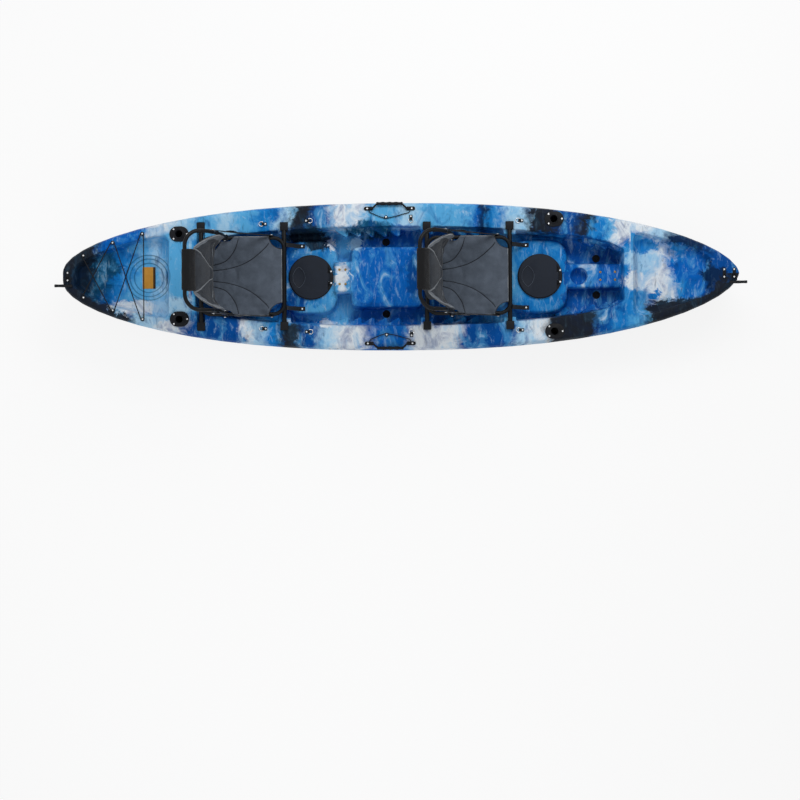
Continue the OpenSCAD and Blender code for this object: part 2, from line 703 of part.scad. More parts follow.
// Pad eyes at the ends, carrying toggles and the short cords that tie them on
bow_eye_x = half_len - 26;
bow_inner_eye_x = half_len - 80;
stern_eye_x = -half_len + 26;
eye_foot = [18, 62, 4];
eye_screw_off = 21;
eye_loop_r = 10;
eye_wire_r = 2.8;
module pad_eye() {
  difference() {
    union() {
      foot(eye_foot[0], eye_foot[1], eye_foot[2]);
      translate([0, 0, eye_foot[2] - 1]) rotate([90, 0, 90]) rotate_extrude(angle = 180)
        translate([eye_loop_r, 0]) circle(r = eye_wire_r);
    }
    for (e = [-1, 1]) translate([0, e * eye_screw_off, -1]) cylinder(r = screw_hole_r, h = 20);
  }
}
module pad_eyes() {
  color(black) for (x = [bow_eye_x, bow_inner_eye_x, stern_eye_x]) on_deck(x, 0) pad_eye();
}
toggle_r = 8.5;
toggle_y = -52;
toggle_back = 27;
module toggle(x, way) {
  color(black) on_deck(x, toggle_y)
    translate([way * (toggle_len / 2 - toggle_back), 0, toggle_r]) rotate([0, 90, 0]) rotate_extrude()
      polygon([[0, -toggle_len / 2], [toggle_r - 2, -toggle_len / 2], [toggle_r, -toggle_len / 2 + 3],
               [toggle_r - 1, -toggle_len / 4], [toggle_r, 0], [toggle_r - 1, toggle_len / 4],
               [toggle_r, toggle_len / 2 - 3], [toggle_r - 2, toggle_len / 2], [0, toggle_len / 2]]);
}
toggle_cord_x = 14;
toggle_cord_z = eye_foot[2] + keeper_d / 2 + lie_gap;
toggle_cord_end = toggle_y + toggle_r + lie_gap;
toggle_cord_half = [[6, 0, toggle_cord_z], [12, -7, toggle_cord_z + 0.6], [toggle_cord_x, -22, toggle_r],
                    [toggle_cord_x, toggle_cord_end, toggle_r]];
toggle_cord_route = concat(
  [for (i = [3 : -1 : 0]) [-toggle_cord_half[i][0], toggle_cord_half[i][1], toggle_cord_half[i][2]]],
  toggle_cord_half);
module toggle_cord(x) {
  color(black) on_deck(x, 0) cord(toggle_cord_route, keeper_d);
}
module bow_toggle() { toggle(bow_eye_x, 1); }
module stern_toggle() { toggle(stern_eye_x, -1); }
module bow_toggle_cord() { toggle_cord(bow_eye_x); }
module stern_toggle_cord() { toggle_cord(stern_eye_x); }

// Bungee laced over the tankwell round six screwed posts
guide_x = [-half_len + 115, -half_len + 278, -half_len + 444];
guide_in = 39;
post_r = 4;
post_foot_t = 4;
post_h = 14.5;
function guide_y(x) = half_w(x) - guide_in;
module at_guides() {
  for (x = guide_x) both_sides() on_deck(x, guide_y(x)) children();
}
module bungee_guides() {
  color(black) at_guides() difference() {
    rotate_extrude() polygon([[0, 0], [10, 0], [10, post_foot_t], [post_r, post_foot_t + 0.5],
                              [post_r, post_h - 2.5], [8, post_h - 1.5], [8, post_h], [0, post_h]]);
    translate([0, 0, -1]) cylinder(r = screw_hole_r, h = 40);
  }
}
wrap_step = 45;
wrap_r = (post_r + bungee_d / 2) / cos(wrap_step / 2) + 3 * lie_gap;
bungee_lift = bungee_d + 1;
function wrap(i, side, start, way) =
  let (x = guide_x[i])
  [for (k = [0 : 3])
    let (a = side * 90 + way * (start + k * wrap_step))
    [x + wrap_r * cos(a), side * guide_y(x) + wrap_r * sin(a),
     deck_z(x) + post_foot_t + bungee_d / 2 + 1.4]];
function over(p, q, share, up) = [p + (q - p) * share + [0, 0, up]];
lace_a = wrap(0, 1, -40, 1);
lace_b = wrap(1, -1, -70, 1);
lace_c = wrap(2, 1, -70, -1);
lace_d = wrap(2, -1, -70, -1);
lace_e = wrap(1, 1, -70, 1);
lace_f = wrap(0, -1, -95, 1);
bungee_route = concat(
  lace_a, lace_b, lace_c, lace_d,
  over(lace_d[3], lace_e[0], 0.3, bungee_lift), over(lace_d[3], lace_e[0], 0.7, bungee_lift), lace_e,
  over(lace_e[3], lace_f[0], 0.3, bungee_lift), over(lace_e[3], lace_f[0], 0.7, bungee_lift), lace_f);
module tankwell_bungee() {
  color(black) cord(bungee_route, bungee_d);
}

// D-rings: four pairs of screwed saddles, each with a wire ring that turns in it.
// Places along the boat and out from its middle, and the way the ring lies
d_rings = [[-780, 296, 180], [-520, 314, 0], [58, 322, 270], [671, 310, 180]];
ring_r = 12.5;
saddle_half_len = 9;
saddle_t = 9;
ring_z = 4.6;
saddle_screw_off = 15;
module at_d_ring(i) {
  p = d_rings[i - 1];
  on_deck(p[0], p[1]) rotate(p[2]) children();
}
module d_ring_saddles() {
  color(black) for (i = [1 : len(d_rings)]) both_sides() at_d_ring(i) difference() {
    union() {
      translate([-5, -saddle_half_len, 0]) cube([10, 2 * saddle_half_len, saddle_t]);
      translate([-saddle_screw_off - 8, -saddle_half_len, 0])
        cube([saddle_screw_off + 4, 2 * saddle_half_len, 4]);
    }
    translate([0, 0, ring_z]) rotate([90, 0, 0])
      cylinder(r = ring_wire_r + pin_gap, h = 60, center = true);
    translate([-saddle_screw_off, 0, -1]) cylinder(r = screw_hole_r, h = 20);
  }
}
module d_ring(i) {
  color(steel) at_d_ring(i) translate([0, 0, ring_z]) {
    rotate([90, 0, 0]) cylinder(r = ring_wire_r, h = 2 * ring_r, center = true);
    for (e = [-1, 1]) translate([0, e * ring_r, 0]) {
      sphere(r = ring_wire_r);
      rotate([0, 90, 0]) cylinder(r = ring_wire_r, h = 8);
    }
    translate([8, 0, 0]) rotate(-90) rotate_extrude(angle = 180)
      translate([ring_r, 0]) circle(r = ring_wire_r, $fn = coarse);
  }
}
module d_ring_1_port() { on_side("port") d_ring(1); }
module d_ring_1_starboard() { on_side("starboard") d_ring(1); }
module d_ring_2_port() { on_side("port") d_ring(2); }
module d_ring_2_starboard() { on_side("starboard") d_ring(2); }
module d_ring_3_port() { on_side("port") d_ring(3); }
module d_ring_3_starboard() { on_side("starboard") d_ring(3); }
module d_ring_4_port() { on_side("port") d_ring(4); }
module d_ring_4_starboard() { on_side("starboard") d_ring(4); }

// Seats: two tubes across the cockpit, a looped base frame, a folding back on two bolts,
// fabric on both, and webbing that holds the back up and the seat down.
// Each seat is drawn round the middle of its two tubes.
bar_wall = 2;
frame_aft_x = -bar_spacing / 2;
frame_fore_x = bar_spacing / 2;
frame_corner_r = 60;
frame_z = bar_r + lie_gap + tube_r;
pivot_x = -95;
pivot_z = frame_z + 36;
cheek_half_w = 15;
cheek_plate_t = 4;
cheek_off = tube_r + 0.6 + cheek_plate_t / 2;
module at_seat(s) {
  translate([s[0], 0, s[1]]) children();
}
module crossbars(s) {
  color(black) at_seat(s) for (e = [-1, 1]) translate([e * bar_spacing / 2, 0, 0]) rotate([90, 0, 0])
    difference() {
      cylinder(r = bar_r, h = 2 * bar_half_len - 8, center = true);
      cylinder(r = bar_r - bar_wall, h = 2 * bar_half_len, center = true);
    }
}
module crossbar_end_blocks() {
  color(black) at_bar_ends() difference() {
    cube(end_block, center = true);
    translate([0, -end_block[1] / 2 - 1, 0]) rotate([-90, 0, 0])
      cylinder(r = bar_r + lie_gap, h = end_block[1] - 2.5);
  }
}
module frame_loop() {
  long = frame_fore_x - frame_aft_x - 2 * frame_corner_r;
  for (e = [-1, 1]) {
    translate([frame_aft_x + frame_corner_r, e * frame_half_w, 0]) rotate([0, 90, 0])
      cylinder(r = tube_r, h = long);
    translate([e > 0 ? frame_fore_x : frame_aft_x, 0, 0]) rotate([90, 0, 0])
      cylinder(r = tube_r, h = 2 * (frame_half_w - frame_corner_r), center = true);
    for (f = [-1, 1])
      translate([f > 0 ? frame_fore_x - frame_corner_r : frame_aft_x + frame_corner_r,
                 e * (frame_half_w - frame_corner_r), 0])
        rotate(f > 0 ? (e > 0 ? 0 : 270) : (e > 0 ? 90 : 180))
          rotate_extrude(angle = 90) translate([frame_corner_r, 0]) circle(r = tube_r);
  }
}
module base_frame(s) {
  color(black) at_seat(s) difference() {
    union() {
      translate([0, 0, frame_z]) frame_loop();
      for (e = [-1, 1], f = [-1, 1])
        translate([pivot_x, e * frame_half_w + f * cheek_off, 0]) rotate([90, 0, 0])
          linear_extrude(cheek_plate_t, center = true) {
            translate([0, pivot_z]) circle(r = cheek_half_w);
            translate([-cheek_half_w, frame_z]) square([2 * cheek_half_w, pivot_z - frame_z]);
          }
      for (e = [-1, 1]) translate([pivot_x, e * frame_half_w, frame_z + tube_r - 1.5])
        cube([2 * cheek_half_w, 2 * cheek_off, 3], center = true);
    }
    translate([pivot_x, 0, pivot_z]) rotate([90, 0, 0])
      cylinder(r = bolt_r + pin_gap, h = 4 * frame_half_w, center = true);
  }
}
bolt_head_r = 7;
bolt_head_t = 4;
module pivot_bolts(s) {
  reach = cheek_off + cheek_plate_t / 2 + lie_gap;
  color(steel) at_seat(s) translate([pivot_x, 0, pivot_z]) both_sides()
    translate([0, frame_half_w, 0]) rotate([-90, 0, 0]) {
      translate([0, 0, -reach - 1]) cylinder(r = bolt_r, h = 2 * reach + 2);
      translate([0, 0, reach]) cylinder(r = bolt_head_r, h = bolt_head_t);
      translate([0, 0, -reach - bolt_head_t]) cylinder(r = bolt_head_r, h = bolt_head_t, $fn = 6);
    }
}

// Side view of a back's leg: straight, then two arcs that lean it further back, then the top bend
leg_straight = 105;
leg_arc = [18, 880];
leg_hook = [63, 110];
back_top_r = 86;
leg_joint = 8;
leg_x1 = pivot_x - leg_arc[1] * (1 - cos(leg_arc[0])) - leg_joint * sin(leg_arc[0]);
leg_z1 = pivot_z + leg_straight + leg_arc[1] * sin(leg_arc[0]) + leg_joint * cos(leg_arc[0]);
leg_x2 = leg_x1 - leg_hook[1] * (cos(leg_arc[0]) - cos(leg_hook[0])) - leg_joint * sin(leg_hook[0]);
leg_z2 = leg_z1 + leg_hook[1] * (sin(leg_hook[0]) - sin(leg_arc[0])) + leg_joint * cos(leg_hook[0]);
// Sleeve over the joint of two bends, whose upper bend starts at a point and leans back by an angle
module leg_sleeve(x, z, lean) {
  translate([x, 0, z]) rotate([0, -lean, 0]) translate([0, 0, -leg_joint - 6])
    cylinder(r = tube_r + 0.8, h = leg_joint + 12);
}
module leg_bend(start, turn, r) {
  rotate([90, 0, 0]) rotate(start) rotate_extrude(angle = turn) translate([r, 0]) circle(r = tube_r);
}
module back_frame(s) {
  color(black) at_seat(s) difference() {
    union() {
      for (e = [-1, 1]) translate([0, e * frame_half_w, 0]) {
        translate([pivot_x, 0, pivot_z]) rotate([90, 0, 0])
          cylinder(r = tube_r + 1.5, h = 2 * tube_r, center = true);
        translate([pivot_x, 0, pivot_z]) cylinder(r = tube_r, h = leg_straight);
        translate([pivot_x - leg_arc[1], 0, pivot_z + leg_straight])
          leg_bend(0, leg_arc[0], leg_arc[1]);
        translate([leg_x1 - leg_hook[1] * cos(leg_arc[0]), 0, leg_z1 - leg_hook[1] * sin(leg_arc[0])])
          leg_bend(leg_arc[0], leg_hook[0] - leg_arc[0], leg_hook[1]);
        leg_sleeve(leg_x1, leg_z1, leg_arc[0]);
        leg_sleeve(leg_x2, leg_z2, leg_hook[0]);
      }
      translate([leg_x2, 0, leg_z2]) rotate([0, -leg_hook[0], 0]) {
        for (e = [-1, 1]) translate([0, e * (frame_half_w - back_top_r), 0])
          rotate([0, -90, 0]) rotate(e > 0 ? 0 : -90)
            rotate_extrude(angle = 90) translate([back_top_r, 0]) circle(r = tube_r);
        translate([0, 0, back_top_r]) rotate([90, 0, 0])
          cylinder(r = tube_r, h = 2 * (frame_half_w - back_top_r), center = true);
      }
    }
    translate([pivot_x, 0, pivot_z]) rotate([90, 0, 0])
      cylinder(r = bolt_r + pin_gap, h = 4 * frame_half_w, center = true);
  }
}

// Fabric of the base: rests on the frame's tubes, sags between them, and its front corners are cut away
sling_x = [-205, bar_spacing / 2 + 3];
sling_rows = 18;
sling_cols = 20;
sling_t = 10;
sling_half_w = 222;
sling_back_half_w = 196;
sling_front_half_w = 125;
sling_sag = 9;
seam_depth = 3;
seam_count = 4;
sling_z = frame_z + tube_r + 1.1;
function smooth(t) = let (c = max(0, min(1, t))) c * c * (3 - 2 * c);
function sling_w(x) =
  sling_back_half_w + (sling_half_w - sling_back_half_w) * smooth((x + 68) / 22)
  - (sling_half_w - sling_front_half_w) * pow(max(0, (x - 110) / (sling_x[1] - 110)), 2);
// Seams that fan out from the middle of the back edge
function seam(x, y) =
  let (a = atan2(abs(y), x - sling_x[0] + 60),
       d = min([for (k = [0 : seam_count - 1]) abs(a - (12 + 21 * k))]))
  exp(-pow(d / 3.2, 2));
function sling_low(x, y) =
  sling_z - sling_sag * cos(90 * min(1, abs(y) / 224)) * cos(90 * min(1, abs(x) / (bar_spacing / 2 + 14)));
function sling_point(i, j, up) =
  let (x = sling_x[0] + (sling_x[1] - sling_x[0]) * i / sling_rows,
       s = 2 * j / sling_cols - 1,
       y = s * sling_w(x),
       edge = smooth((1 - abs(s)) / 0.1) * smooth(i / 2) * smooth((sling_rows - i) / 2))
  [x, y, sling_low(x, y) + up * (2.5 + (sling_t - 2.5) * edge - seam_depth * edge * seam(x, y))];
module base_sling(s) {
  color(fabric) at_seat(s) panel(
    [for (i = [0 : sling_rows]) [for (j = [0 : sling_cols]) sling_point(i, j, 1)]],
    [for (i = [0 : sling_rows]) [for (j = [0 : sling_cols]) sling_point(i, j, 0)]]);
}

// Fabric of the back: hangs between the legs, hollowed for the sitter, with cut-away top corners
// and a flap that curves back to the aft tube
back_rows = 18;
back_cols = 18;
back_t = 12;
back_half_w = frame_half_w - tube_r - 0.6;
flap_half_w = 150;
flap_rise = 90;
// Side view of the panel's edge and middle at a height h over the pivot
function edge_x(h) = h < leg_straight ? pivot_x
  : h < leg_z1 - pivot_z ? pivot_x - leg_arc[1] * (1 - cos(asin((h - leg_straight) / leg_arc[1])))
  : leg_x1 - (h - leg_z1 + pivot_z) * tan(28);
back_h = [-8, 440];
hollow_depth = 74;
function middle_x(h) = edge_x(h) - hollow_depth
  - (h < flap_rise ? 86 * pow((flap_rise - h) / (flap_rise - back_h[0]), 1.6) : 0);
function back_w(h) =
  h < flap_rise ? flap_half_w + (back_half_w - flap_half_w) * smooth((h - 10) / (flap_rise - 10))
  : back_half_w - 78 * pow(max(0, (h - 330) / (back_h[1] - 330)), 1.7);
function back_point(i, j, front) =
  let (h = back_h[0] + (back_h[1] - back_h[0]) * i / back_rows,
       s = 2 * j / back_cols - 1,
       y = s * back_w(h),
       hug = pow(abs(y) / back_half_w, 2.4),
       x = middle_x(h) + (edge_x(h) - middle_x(h)) * hug,
       edge = smooth((1 - abs(s)) / 0.12) * smooth(i / 2) * smooth((back_rows - i) / 1.5),
       lumbar = 5 * exp(-pow((h - 165) / 45, 2)))
  [x + (front - 0.5) * (3 + (back_t + lumbar - 3) * edge), y, pivot_z + h];
module back_panel(s) {
  color(fabric) at_seat(s) panel(
    [for (i = [0 : back_rows]) [for (j = [0 : back_cols]) back_point(i, j, 0)]],
    [for (i = [0 : back_rows]) [for (j = [0 : back_cols]) back_point(i, j, 1)]]);
}

// Webbing at a seat's sides: from the legs down to the front of the base, with ladder buckles
strap_y = frame_half_w + tube_r + lie_gap;
strap_foot = [165, frame_z];
upper_strap_top = [-140, pivot_z + 340];
lower_strap_top = [-101, pivot_z + 205];
buckle = [34, 5, 30];
buckle_share = 0.3;
module between(p, q, share) {
  d = q - p;
  translate([p[0] + share * d[0], 0, p[1] + share * d[1]]) rotate([0, -atan2(d[1], d[0]), 0]) children();
}
module side_straps(s) {
  color(black) at_seat(s) both_sides() {
    between(upper_strap_top, strap_foot, 0.5)
      translate([0, strap_y + web_t / 2, 0])
        cube([norm(strap_foot - upper_strap_top) + web_w / 2, web_t, web_w], center = true);
    between(lower_strap_top, strap_foot, 0.5)
      translate([0, strap_y + web_t * 1.5 + lie_gap, 0])
        cube([norm(strap_foot - lower_strap_top) + web_w / 2, web_t, web_w], center = true);
  }
}
module strap_buckles(s) {
  color(black) at_seat(s) both_sides() between(upper_strap_top, strap_foot, buckle_share)
    translate([0, strap_y + web_t + lie_gap + buckle[1] / 2, 0]) difference() {
      cube(buckle, center = true);
      for (e = [-1, 1]) translate([e * 8, 0, 0]) cube([6, 20, buckle[2] - 8], center = true);
    }
}
tie_y = 178;
tie_reach = 96;
tie_tab = 34;
function tie_drop(s) = s[1] - pedestal_z - lie_gap;
module at_tie_tab(s) {
  translate([s[0] + bar_spacing / 2 + tie_reach, 0, pedestal_z + lie_gap]) both_sides()
    translate([0, tie_y, 0]) children();
}
module tie_down_straps(s) {
  x0 = bar_spacing / 2 + bar_r + lie_gap;
  x1 = bar_spacing / 2 + tie_reach - tie_tab / 2;
  x2 = bar_spacing / 2 + tie_reach + tie_tab / 2;
  color(black) at_seat(s) both_sides() translate([0, tie_y, 0]) difference() {
    rotate([90, 0, 0]) linear_extrude(web_w, center = true) polygon([
      [x0, bar_r], [x0 + web_t, bar_r], [x0 + web_t, -6], [x1 + web_t, web_t - tie_drop(s)],
      [x2, web_t - tie_drop(s)], [x2, -tie_drop(s)], [x1, -tie_drop(s)], [x0, -6]]);
    translate([bar_spacing / 2 + tie_reach, 0, -tie_drop(s) - 1]) cylinder(r = screw_hole_r, h = 20);
  }
}
aft_seat = [aft_seat_x, aft_seat_z];
front_seat = [front_seat_x, front_seat_z];
module aft_seat_crossbars() { crossbars(aft_seat); }
module aft_seat_base_frame() { base_frame(aft_seat); }
module aft_seat_base_sling() { base_sling(aft_seat); }
module aft_seat_back_frame() { back_frame(aft_seat); }
module aft_seat_back_panel() { back_panel(aft_seat); }
module aft_seat_pivot_bolts() { pivot_bolts(aft_seat); }
module aft_seat_side_straps() { side_straps(aft_seat); }
module aft_seat_strap_buckles() { strap_buckles(aft_seat); }
module aft_seat_tie_down_straps() { tie_down_straps(aft_seat); }
module front_seat_crossbars() { crossbars(front_seat); }
module front_seat_base_frame() { base_frame(front_seat); }
module front_seat_base_sling() { base_sling(front_seat); }
module front_seat_back_frame() { back_frame(front_seat); }
module front_seat_back_panel() { back_panel(front_seat); }
module front_seat_pivot_bolts() { pivot_bolts(front_seat); }
module front_seat_side_straps() { side_straps(front_seat); }
module front_seat_strap_buckles() { strap_buckles(front_seat); }
module front_seat_tie_down_straps() { tie_down_straps(front_seat); }

// Stainless screws of everything that is screwed to the hull
module deck_screws() {
  color(steel) {
    both_sides() for (p = [aft_rod, front_rod], s = rod_screws)
      at_rod_holder(p) translate([s[0], s[1], 0]) screw(flange_t);
    both_sides() at_handle() for (e = [-1, 1]) translate([e * lug_screw_off, 0, 0]) screw(lug_t);
    both_sides() on_deck(knob_at[0], knob_at[1]) screw(15);
    for (x = [bow_eye_x, bow_inner_eye_x, stern_eye_x], e = [-1, 1])
      on_deck(x, 0) translate([0, e * eye_screw_off, 0]) screw(eye_foot[2]);
    at_guides() screw(post_h);
    for (i = [1 : len(d_rings)]) both_sides() at_d_ring(i)
      translate([-saddle_screw_off, 0, 0]) screw(4);
    for (s = [aft_seat, front_seat]) at_tie_tab(s) screw(web_t);
    for (x = [aft_hatch_x, front_hatch_x]) at_hatch(x) at_hinge_screws() screw(rim_t + lie_gap + lid_t);
  }
}

hull_shell();
hatch_seals();
hatch_hinge_pins();
accessory_inserts();
tankwell_plate();
deck_screws();
crossbar_end_blocks();
handle_lugs();
paddle_knobs();
pad_eyes();
bungee_guides();
tankwell_bungee();
d_ring_saddles();
bow_toggle();
bow_toggle_cord();
stern_toggle();
stern_toggle_cord();
aft_hatch_rim();
aft_hatch_lid();
front_hatch_rim();
front_hatch_lid();
aft_rod_holder_port();
aft_rod_holder_starboard();
front_rod_holder_port();
front_rod_holder_starboard();
aft_scupper_plug_port();
aft_scupper_plug_starboard();
bow_scupper_plug_port();
bow_scupper_plug_starboard();
port_carry_handle();
port_paddle_bungee();
starboard_carry_handle();
starboard_paddle_bungee();
d_ring_1_port();
d_ring_1_starboard();
d_ring_2_port();
d_ring_2_starboard();
d_ring_3_port();
d_ring_3_starboard();
d_ring_4_port();
d_ring_4_starboard();
aft_seat_crossbars();
aft_seat_base_frame();
aft_seat_base_sling();
aft_seat_back_frame();
aft_seat_back_panel();
aft_seat_pivot_bolts();
aft_seat_side_straps();
aft_seat_strap_buckles();
aft_seat_tie_down_straps();
front_seat_crossbars();
front_seat_base_frame();
front_seat_base_sling();
front_seat_back_frame();
front_seat_back_panel();
front_seat_pivot_bolts();
front_seat_side_straps();
front_seat_strap_buckles();
front_seat_tie_down_straps();
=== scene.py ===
# %% [markdown]
# A two-seat sit-on-top kayak. The real boat is one hollow polyethylene moulding with black fittings
# screwed to it and two folding seats on tubes laid across the cockpit. The CAD model gives every place
# and size; this lesson dresses it: smooth moulded plastic with a blue camouflage swirl, stuffed grey
# seat fabric, woven straps, shock cord and metal fittings. Lengths are in metres.

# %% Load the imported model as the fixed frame
import json
import math
import bpy
import numpy as np
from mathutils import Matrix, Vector, noise

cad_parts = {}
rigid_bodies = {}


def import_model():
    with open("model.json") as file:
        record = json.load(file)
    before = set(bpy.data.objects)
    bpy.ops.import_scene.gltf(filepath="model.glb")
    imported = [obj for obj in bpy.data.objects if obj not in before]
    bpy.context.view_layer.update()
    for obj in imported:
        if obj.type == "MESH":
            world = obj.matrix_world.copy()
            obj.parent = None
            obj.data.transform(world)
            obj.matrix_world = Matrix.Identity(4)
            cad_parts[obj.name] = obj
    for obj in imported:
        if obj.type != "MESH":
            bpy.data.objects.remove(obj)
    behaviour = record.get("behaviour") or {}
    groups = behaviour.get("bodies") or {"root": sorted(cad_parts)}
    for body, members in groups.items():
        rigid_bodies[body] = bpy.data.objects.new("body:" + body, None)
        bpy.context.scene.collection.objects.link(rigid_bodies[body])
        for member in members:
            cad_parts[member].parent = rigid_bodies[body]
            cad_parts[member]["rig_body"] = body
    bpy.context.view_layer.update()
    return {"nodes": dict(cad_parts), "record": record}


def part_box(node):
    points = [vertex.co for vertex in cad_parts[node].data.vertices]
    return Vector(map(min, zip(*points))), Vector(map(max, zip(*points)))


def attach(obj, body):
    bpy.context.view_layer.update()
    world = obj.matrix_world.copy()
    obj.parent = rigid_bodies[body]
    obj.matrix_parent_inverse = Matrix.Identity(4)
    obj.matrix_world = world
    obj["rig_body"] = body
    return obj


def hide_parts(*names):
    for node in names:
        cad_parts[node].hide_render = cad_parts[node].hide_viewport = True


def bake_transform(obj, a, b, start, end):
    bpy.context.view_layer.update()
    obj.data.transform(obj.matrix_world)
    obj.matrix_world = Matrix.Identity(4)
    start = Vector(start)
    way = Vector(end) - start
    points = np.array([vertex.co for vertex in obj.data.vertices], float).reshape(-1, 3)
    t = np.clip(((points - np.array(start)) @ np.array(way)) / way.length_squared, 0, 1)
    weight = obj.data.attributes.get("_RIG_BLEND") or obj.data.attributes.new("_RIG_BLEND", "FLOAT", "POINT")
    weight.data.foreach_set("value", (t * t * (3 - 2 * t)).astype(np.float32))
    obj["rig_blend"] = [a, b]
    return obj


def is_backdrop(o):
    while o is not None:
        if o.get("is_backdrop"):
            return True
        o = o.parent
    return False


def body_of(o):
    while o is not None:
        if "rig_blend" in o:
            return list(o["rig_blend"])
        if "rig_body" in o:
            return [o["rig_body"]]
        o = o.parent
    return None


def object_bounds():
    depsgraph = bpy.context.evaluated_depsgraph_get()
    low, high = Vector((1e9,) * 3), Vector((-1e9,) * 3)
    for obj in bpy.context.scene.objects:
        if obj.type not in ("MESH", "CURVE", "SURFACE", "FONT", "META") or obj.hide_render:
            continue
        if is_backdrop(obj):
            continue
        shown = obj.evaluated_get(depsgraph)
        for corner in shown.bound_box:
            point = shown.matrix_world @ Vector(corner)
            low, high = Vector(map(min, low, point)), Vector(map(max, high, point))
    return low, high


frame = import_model()
nodes = frame["nodes"]
bpy.ops.object.select_all(action="DESELECT")

# %% [markdown]
# The photograph looks down on the boat from a long way up, about a degree off the vertical and turned by
# a third of a degree. The boat lies above the middle of the square picture. A camera with no shift does
# that when it is aimed at a point beside the boat.

# %% Camera above the deck
TILT, TURN = math.radians(1.074), math.radians(-0.33)
bpy.ops.object.camera_add(location=(-0.011, -0.959, 14.0), rotation=(TILT, 0, TURN))
camera = bpy.context.object
camera.name = "camera_above"
camera.data.lens = 109.1
camera.data.sensor_width = 36
bpy.context.scene.camera = camera
print("camera", round(camera.location.z, 2), "m up, lens", camera.data.lens, "mm")

# %% [markdown]
# A white studio: a pale floor under the keel, soft light from a bright sky and three broad lamps.
# The sky is white where the camera, a mirror or glass sees it, and lights the boat at a plain level.

# %% Colours and nodes
SHADER = "Principled BSDF"
DULL, METAL = 0.13, 0.5  # specular levels


def linear(code):
    """A colour written as an sRGB hex value, as linear light."""
    parts = [int(code[i:i + 2], 16) / 255 for i in (1, 3, 5)]
    return [p / 12.92 if p < 0.04045 else ((p + 0.055) / 1.055) ** 2.4 for p in parts] + [1]


def output_of(source):
    """The first output in use of a node; an output or a plain value stays what it is."""
    if isinstance(source, bpy.types.Node):
        return next(output for output in source.outputs if output.enabled)
    return source


def add(material, kind, *inputs, **settings):
    """A new shader node: inputs fill its sockets in order, settings go by name, with _ for a space."""
    made = material.node_tree.nodes.new("ShaderNode" + kind)
    for name in [name for name in settings if hasattr(made, name)]:
        setattr(made, name, settings.pop(name))
    pairs = list(zip([socket for socket in made.inputs if socket.enabled], inputs))
    pairs += [(made.inputs[name.replace("_", " ")], value) for name, value in settings.items()]
    for socket, value in pairs:
        if isinstance(output_of(value), bpy.types.NodeSocket):
            material.node_tree.links.new(output_of(value), socket)
        else:
            socket.default_value = value
    return made


def finish_for(name, colour, roughness, metallic=0.0, specular=DULL, sheen=0.0):
    """A material with its shader set to the real material's usual values."""
    material = bpy.data.materials.new(name)
    material.use_nodes = True
    values = {"Base Color": linear(colour), "Roughness": roughness, "Metallic": metallic,
              "Specular IOR Level": METAL if metallic else specular, "Sheen Weight": sheen}
    for socket, value in values.items():
        material.node_tree.nodes[SHADER].inputs[socket].default_value = value
    return material


def feed(material, **outputs):
    """Links outputs into the sockets of a material's shader; an underscore stands for a space."""
    shader = material.node_tree.nodes[SHADER]
    for name, output in outputs.items():
        material.node_tree.links.new(output_of(output), shader.inputs[name.replace("_", " ")])


print("helpers ready")

# %% Floor
FLOOR_SIZE, FLOOR_GAP, FLOOR_GLOW = 60, 0.0008, 0.85
bpy.ops.mesh.primitive_plane_add(size=FLOOR_SIZE, location=(0, 0, -FLOOR_GAP))
floor = bpy.context.object
floor.name = "studio_floor"
floor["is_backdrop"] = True
paper = finish_for("studio_paper", "#F4F5F6", 0.9)
ray = add(paper, "LightPath")
seen = add(paper, "Math", ray.outputs["Is Camera Ray"], FLOOR_GLOW, operation="MULTIPLY")
glow = add(paper, "Emission", Strength=1.0, Color=(1, 1, 1, 1))
mixed = add(paper, "MixShader", seen, paper.node_tree.nodes[SHADER], glow)
surface = paper.node_tree.nodes["Material Output"].inputs["Surface"]
paper.node_tree.links.new(mixed.outputs[0], surface)
floor.data.materials.append(paper)
print("floor laid")

# %% Sky and lamps
SKY_LIGHT, AIM = 0.38, Vector((0, 0, 0.25))
LAMPS = {"key": ((0.8, 2.6, 3.6), (4.4, 1.6), 100), "fill": ((-0.6, -3.4, 2.6), (4.4, 1.4), 36),
         "stern": ((-4.2, 0.6, 2.4), (1.6, 1.6), 20)}
sky = bpy.data.worlds.new("studio_sky")
sky.use_nodes = True
bpy.context.scene.world = sky
path = add(sky, "LightPath")
either = path.outputs["Is Camera Ray"]
for kind in ("Is Glossy Ray", "Is Transmission Ray"):
    either = add(sky, "Math", either, path.outputs[kind], operation="MAXIMUM")
level = add(sky, "MapRange", either, To_Min=SKY_LIGHT, To_Max=1.0)
background = sky.node_tree.nodes["Background"]
background.inputs["Color"].default_value = (1, 1, 1, 1)
sky.node_tree.links.new(level.outputs[0], background.inputs["Strength"])
for name, (place, size, power) in LAMPS.items():
    bpy.ops.object.light_add(type="AREA", location=place)
    lamp = bpy.context.object
    lamp.name = "lamp_" + name
    lamp.data.shape = "RECTANGLE"
    lamp.data.size, lamp.data.size_y = size
    lamp.data.energy = power
    lamp.rotation_euler = (AIM - lamp.location).to_track_quat("-Z", "Y").to_euler()
bpy.context.scene.view_settings.view_transform = "Standard"
print("studio set")

# %% [markdown]
# The hull's lines are the ones that the CAD source uses. The cords need the deck's height, and the
# hull's paint needs to know where the chine, the crease and the deck edge run.

# %% Lines of the hull
HALF_LEN, HALF_BEAM, DECK = 1.9, 0.42, 0.3
STERN_TIP, STEM_TIP = 0.045, 0.010
CHINE_LOW, CHINE_LOW_X = 0.115, -0.4


def share(x):
    return np.minimum(1, np.abs(x) / HALF_LEN)


def half_w(x):
    tip = np.where(np.asarray(x) < 0, STERN_TIP, STEM_TIP)
    return tip + (HALF_BEAM - tip) * (1 - share(x) ** 2.3) ** 0.6


